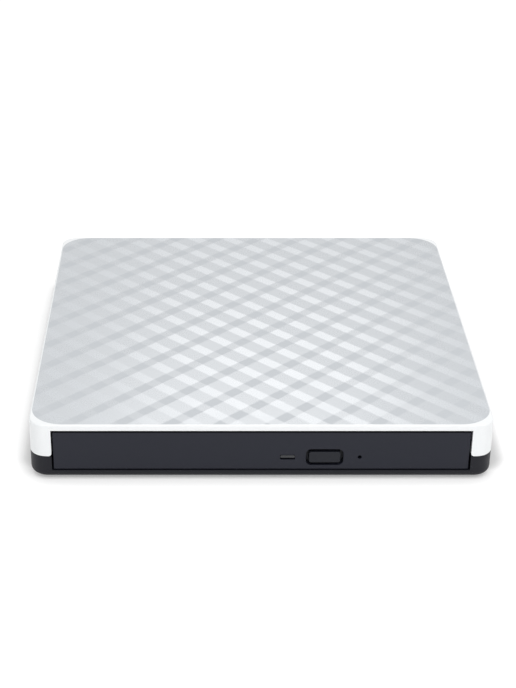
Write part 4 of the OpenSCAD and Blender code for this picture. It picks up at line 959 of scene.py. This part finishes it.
def make_pickup_shield():
    first, last = SHIELD_ENDS
    wall = SHIELD_WALL
    outer = (first, last, -SHIELD_HALF, SHIELD_HALF, SHIELD_CORNER)
    inner = (first + wall, last - wall, wall - SHIELD_HALF, SHIELD_HALF - wall, SHIELD_CORNER - wall)
    mesh = bmesh.new()
    add_skin(mesh, [slanted_outline(*outer, SHIELD_FLOOR), slanted_outline(*outer, SHIELD_RIM),
                    slanted_outline(*inner, SHIELD_RIM), slanted_outline(*inner, SHIELD_SHEET)])
    raised = []
    for side in RIB_SIDES:
        rib = (first + RIB_INSETS[0], last - RIB_INSETS[1], side - RIB_HALF, side + RIB_HALF, RIB_CORNER)
        raised.append((rib, SHIELD_RIM))
    half_long, half_wide = PAD_HALF
    for along, side in PAD_SPOTS:
        pad = (along - half_long, along + half_long, side - half_wide, side + half_wide, PAD_CORNER)
        raised.append((pad, PAD_TOP))
    for outline, top in raised:
        add_skin(mesh, [slanted_outline(*outline, z) for z in (SHIELD_SHEET, top)])
    piece = finish_mesh("pickup_shield", mesh, guide_black, False)
    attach(piece, "tray")
    return piece


pickup_shield = make_pickup_shield()
print("made:", pickup_shield.name, len(pickup_shield.data.polygons), "faces")

# %% [markdown]
# ## Contacts, chip legs and small parts
# The tongue of the back socket carries twelve gold contacts on each face. The chip under the tray stands on
# tinned legs, and beside it lie small resistors: a dark body with a tinned end on either side. Each kind is
# one piece of many small blocks, as they are soldered in rows by a machine.

# %% Contacts, legs and small parts
SMALL_EDGE = 0.00003
USB_CONTACTS = 12
USB_PITCH = 0.0005
USB_HALF_WIDTH = 0.00013
USB_FROM_TIP = (0.0042, 0.0006)
USB_PROUD = 0.00003
USB_EDGE = 0.00002
LEG_COUNT = 12
LEG_FIRST, LEG_SPAN = 0.8, 12.6
LEG_HALF_WIDTH = 0.00014
LEG_THICK = 0.00012
LEG_OUT, LEG_INTO = 0.0007, 0.0001
RESISTOR_SPOTS = [(0.0022 + 0.0016 * column, 0.0007 + 0.0019 * row)
                  for column in range(2) for row in range(5)]
BODY_HALF = (0.0004, 0.0006)
BODY_HIGH = 0.00038
END_HALF = 0.00043
END_HIGH = 0.00041
END_FROM, END_TO = 0.00045, 0.0007


def make_usb_contacts():
    low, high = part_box("usb_tongue")
    middle = (low.x + high.x) / 2
    inner, outer = high.y - USB_FROM_TIP[0], high.y - USB_FROM_TIP[1]
    boxes = []
    for i in range(USB_CONTACTS):
        x = middle + (i - (USB_CONTACTS - 1) / 2) * USB_PITCH
        near, far = x - USB_HALF_WIDTH, x + USB_HALF_WIDTH
        for z in (low.z, high.z):
            boxes.append(((near, inner, z - USB_PROUD), (far, outer, z + USB_PROUD)))
    piece = blocks("usb_contacts", boxes, gold_plate, USB_EDGE)
    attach(piece, "case")
    return piece


def make_chip_legs():
    low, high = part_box("tray_chip")
    boxes = []
    foot = high.z - LEG_THICK
    for i in range(LEG_COUNT):
        x = low.x + (high.x - low.x) * (i + LEG_FIRST) / LEG_SPAN
        y = low.y + (high.y - low.y) * (i + LEG_FIRST) / LEG_SPAN
        for near, far in ((low.y - LEG_OUT, low.y + LEG_INTO), (high.y - LEG_INTO, high.y + LEG_OUT)):
            boxes.append(((x - LEG_HALF_WIDTH, near, foot), (x + LEG_HALF_WIDTH, far, high.z)))
        for near, far in ((low.x - LEG_OUT, low.x + LEG_INTO), (high.x - LEG_INTO, high.x + LEG_OUT)):
            boxes.append(((near, y - LEG_HALF_WIDTH, foot), (far, y + LEG_HALF_WIDTH, high.z)))
    piece = blocks("tray_chip_legs", boxes, bright_steel, SMALL_EDGE)
    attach(piece, "tray")
    return piece


def make_resistors():
    low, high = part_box("tray_chip")
    bodies, ends = [], []
    half_x, half_y = BODY_HALF
    for out, up in RESISTOR_SPOTS:
        x, y = high.x + out, low.y + up
        bodies.append(((x - half_x, y - half_y, high.z - BODY_HIGH), (x + half_x, y + half_y, high.z)))
        for near, far in ((y - END_TO, y - END_FROM), (y + END_FROM, y + END_TO)):
            ends.append(((x - END_HALF, near, high.z - END_HIGH), (x + END_HALF, far, high.z)))
    pieces = [blocks("resistor_bodies", bodies, chip_black, SMALL_EDGE),
              blocks("resistor_ends", ends, bright_steel, SMALL_EDGE)]
    for piece, slot in zip(pieces, ("chip_black", "bright_steel")):
        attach(piece, "tray")
    return pieces


small_parts = [make_usb_contacts(), make_chip_legs(), *make_resistors()]
print("made:", [piece.name for piece in small_parts])
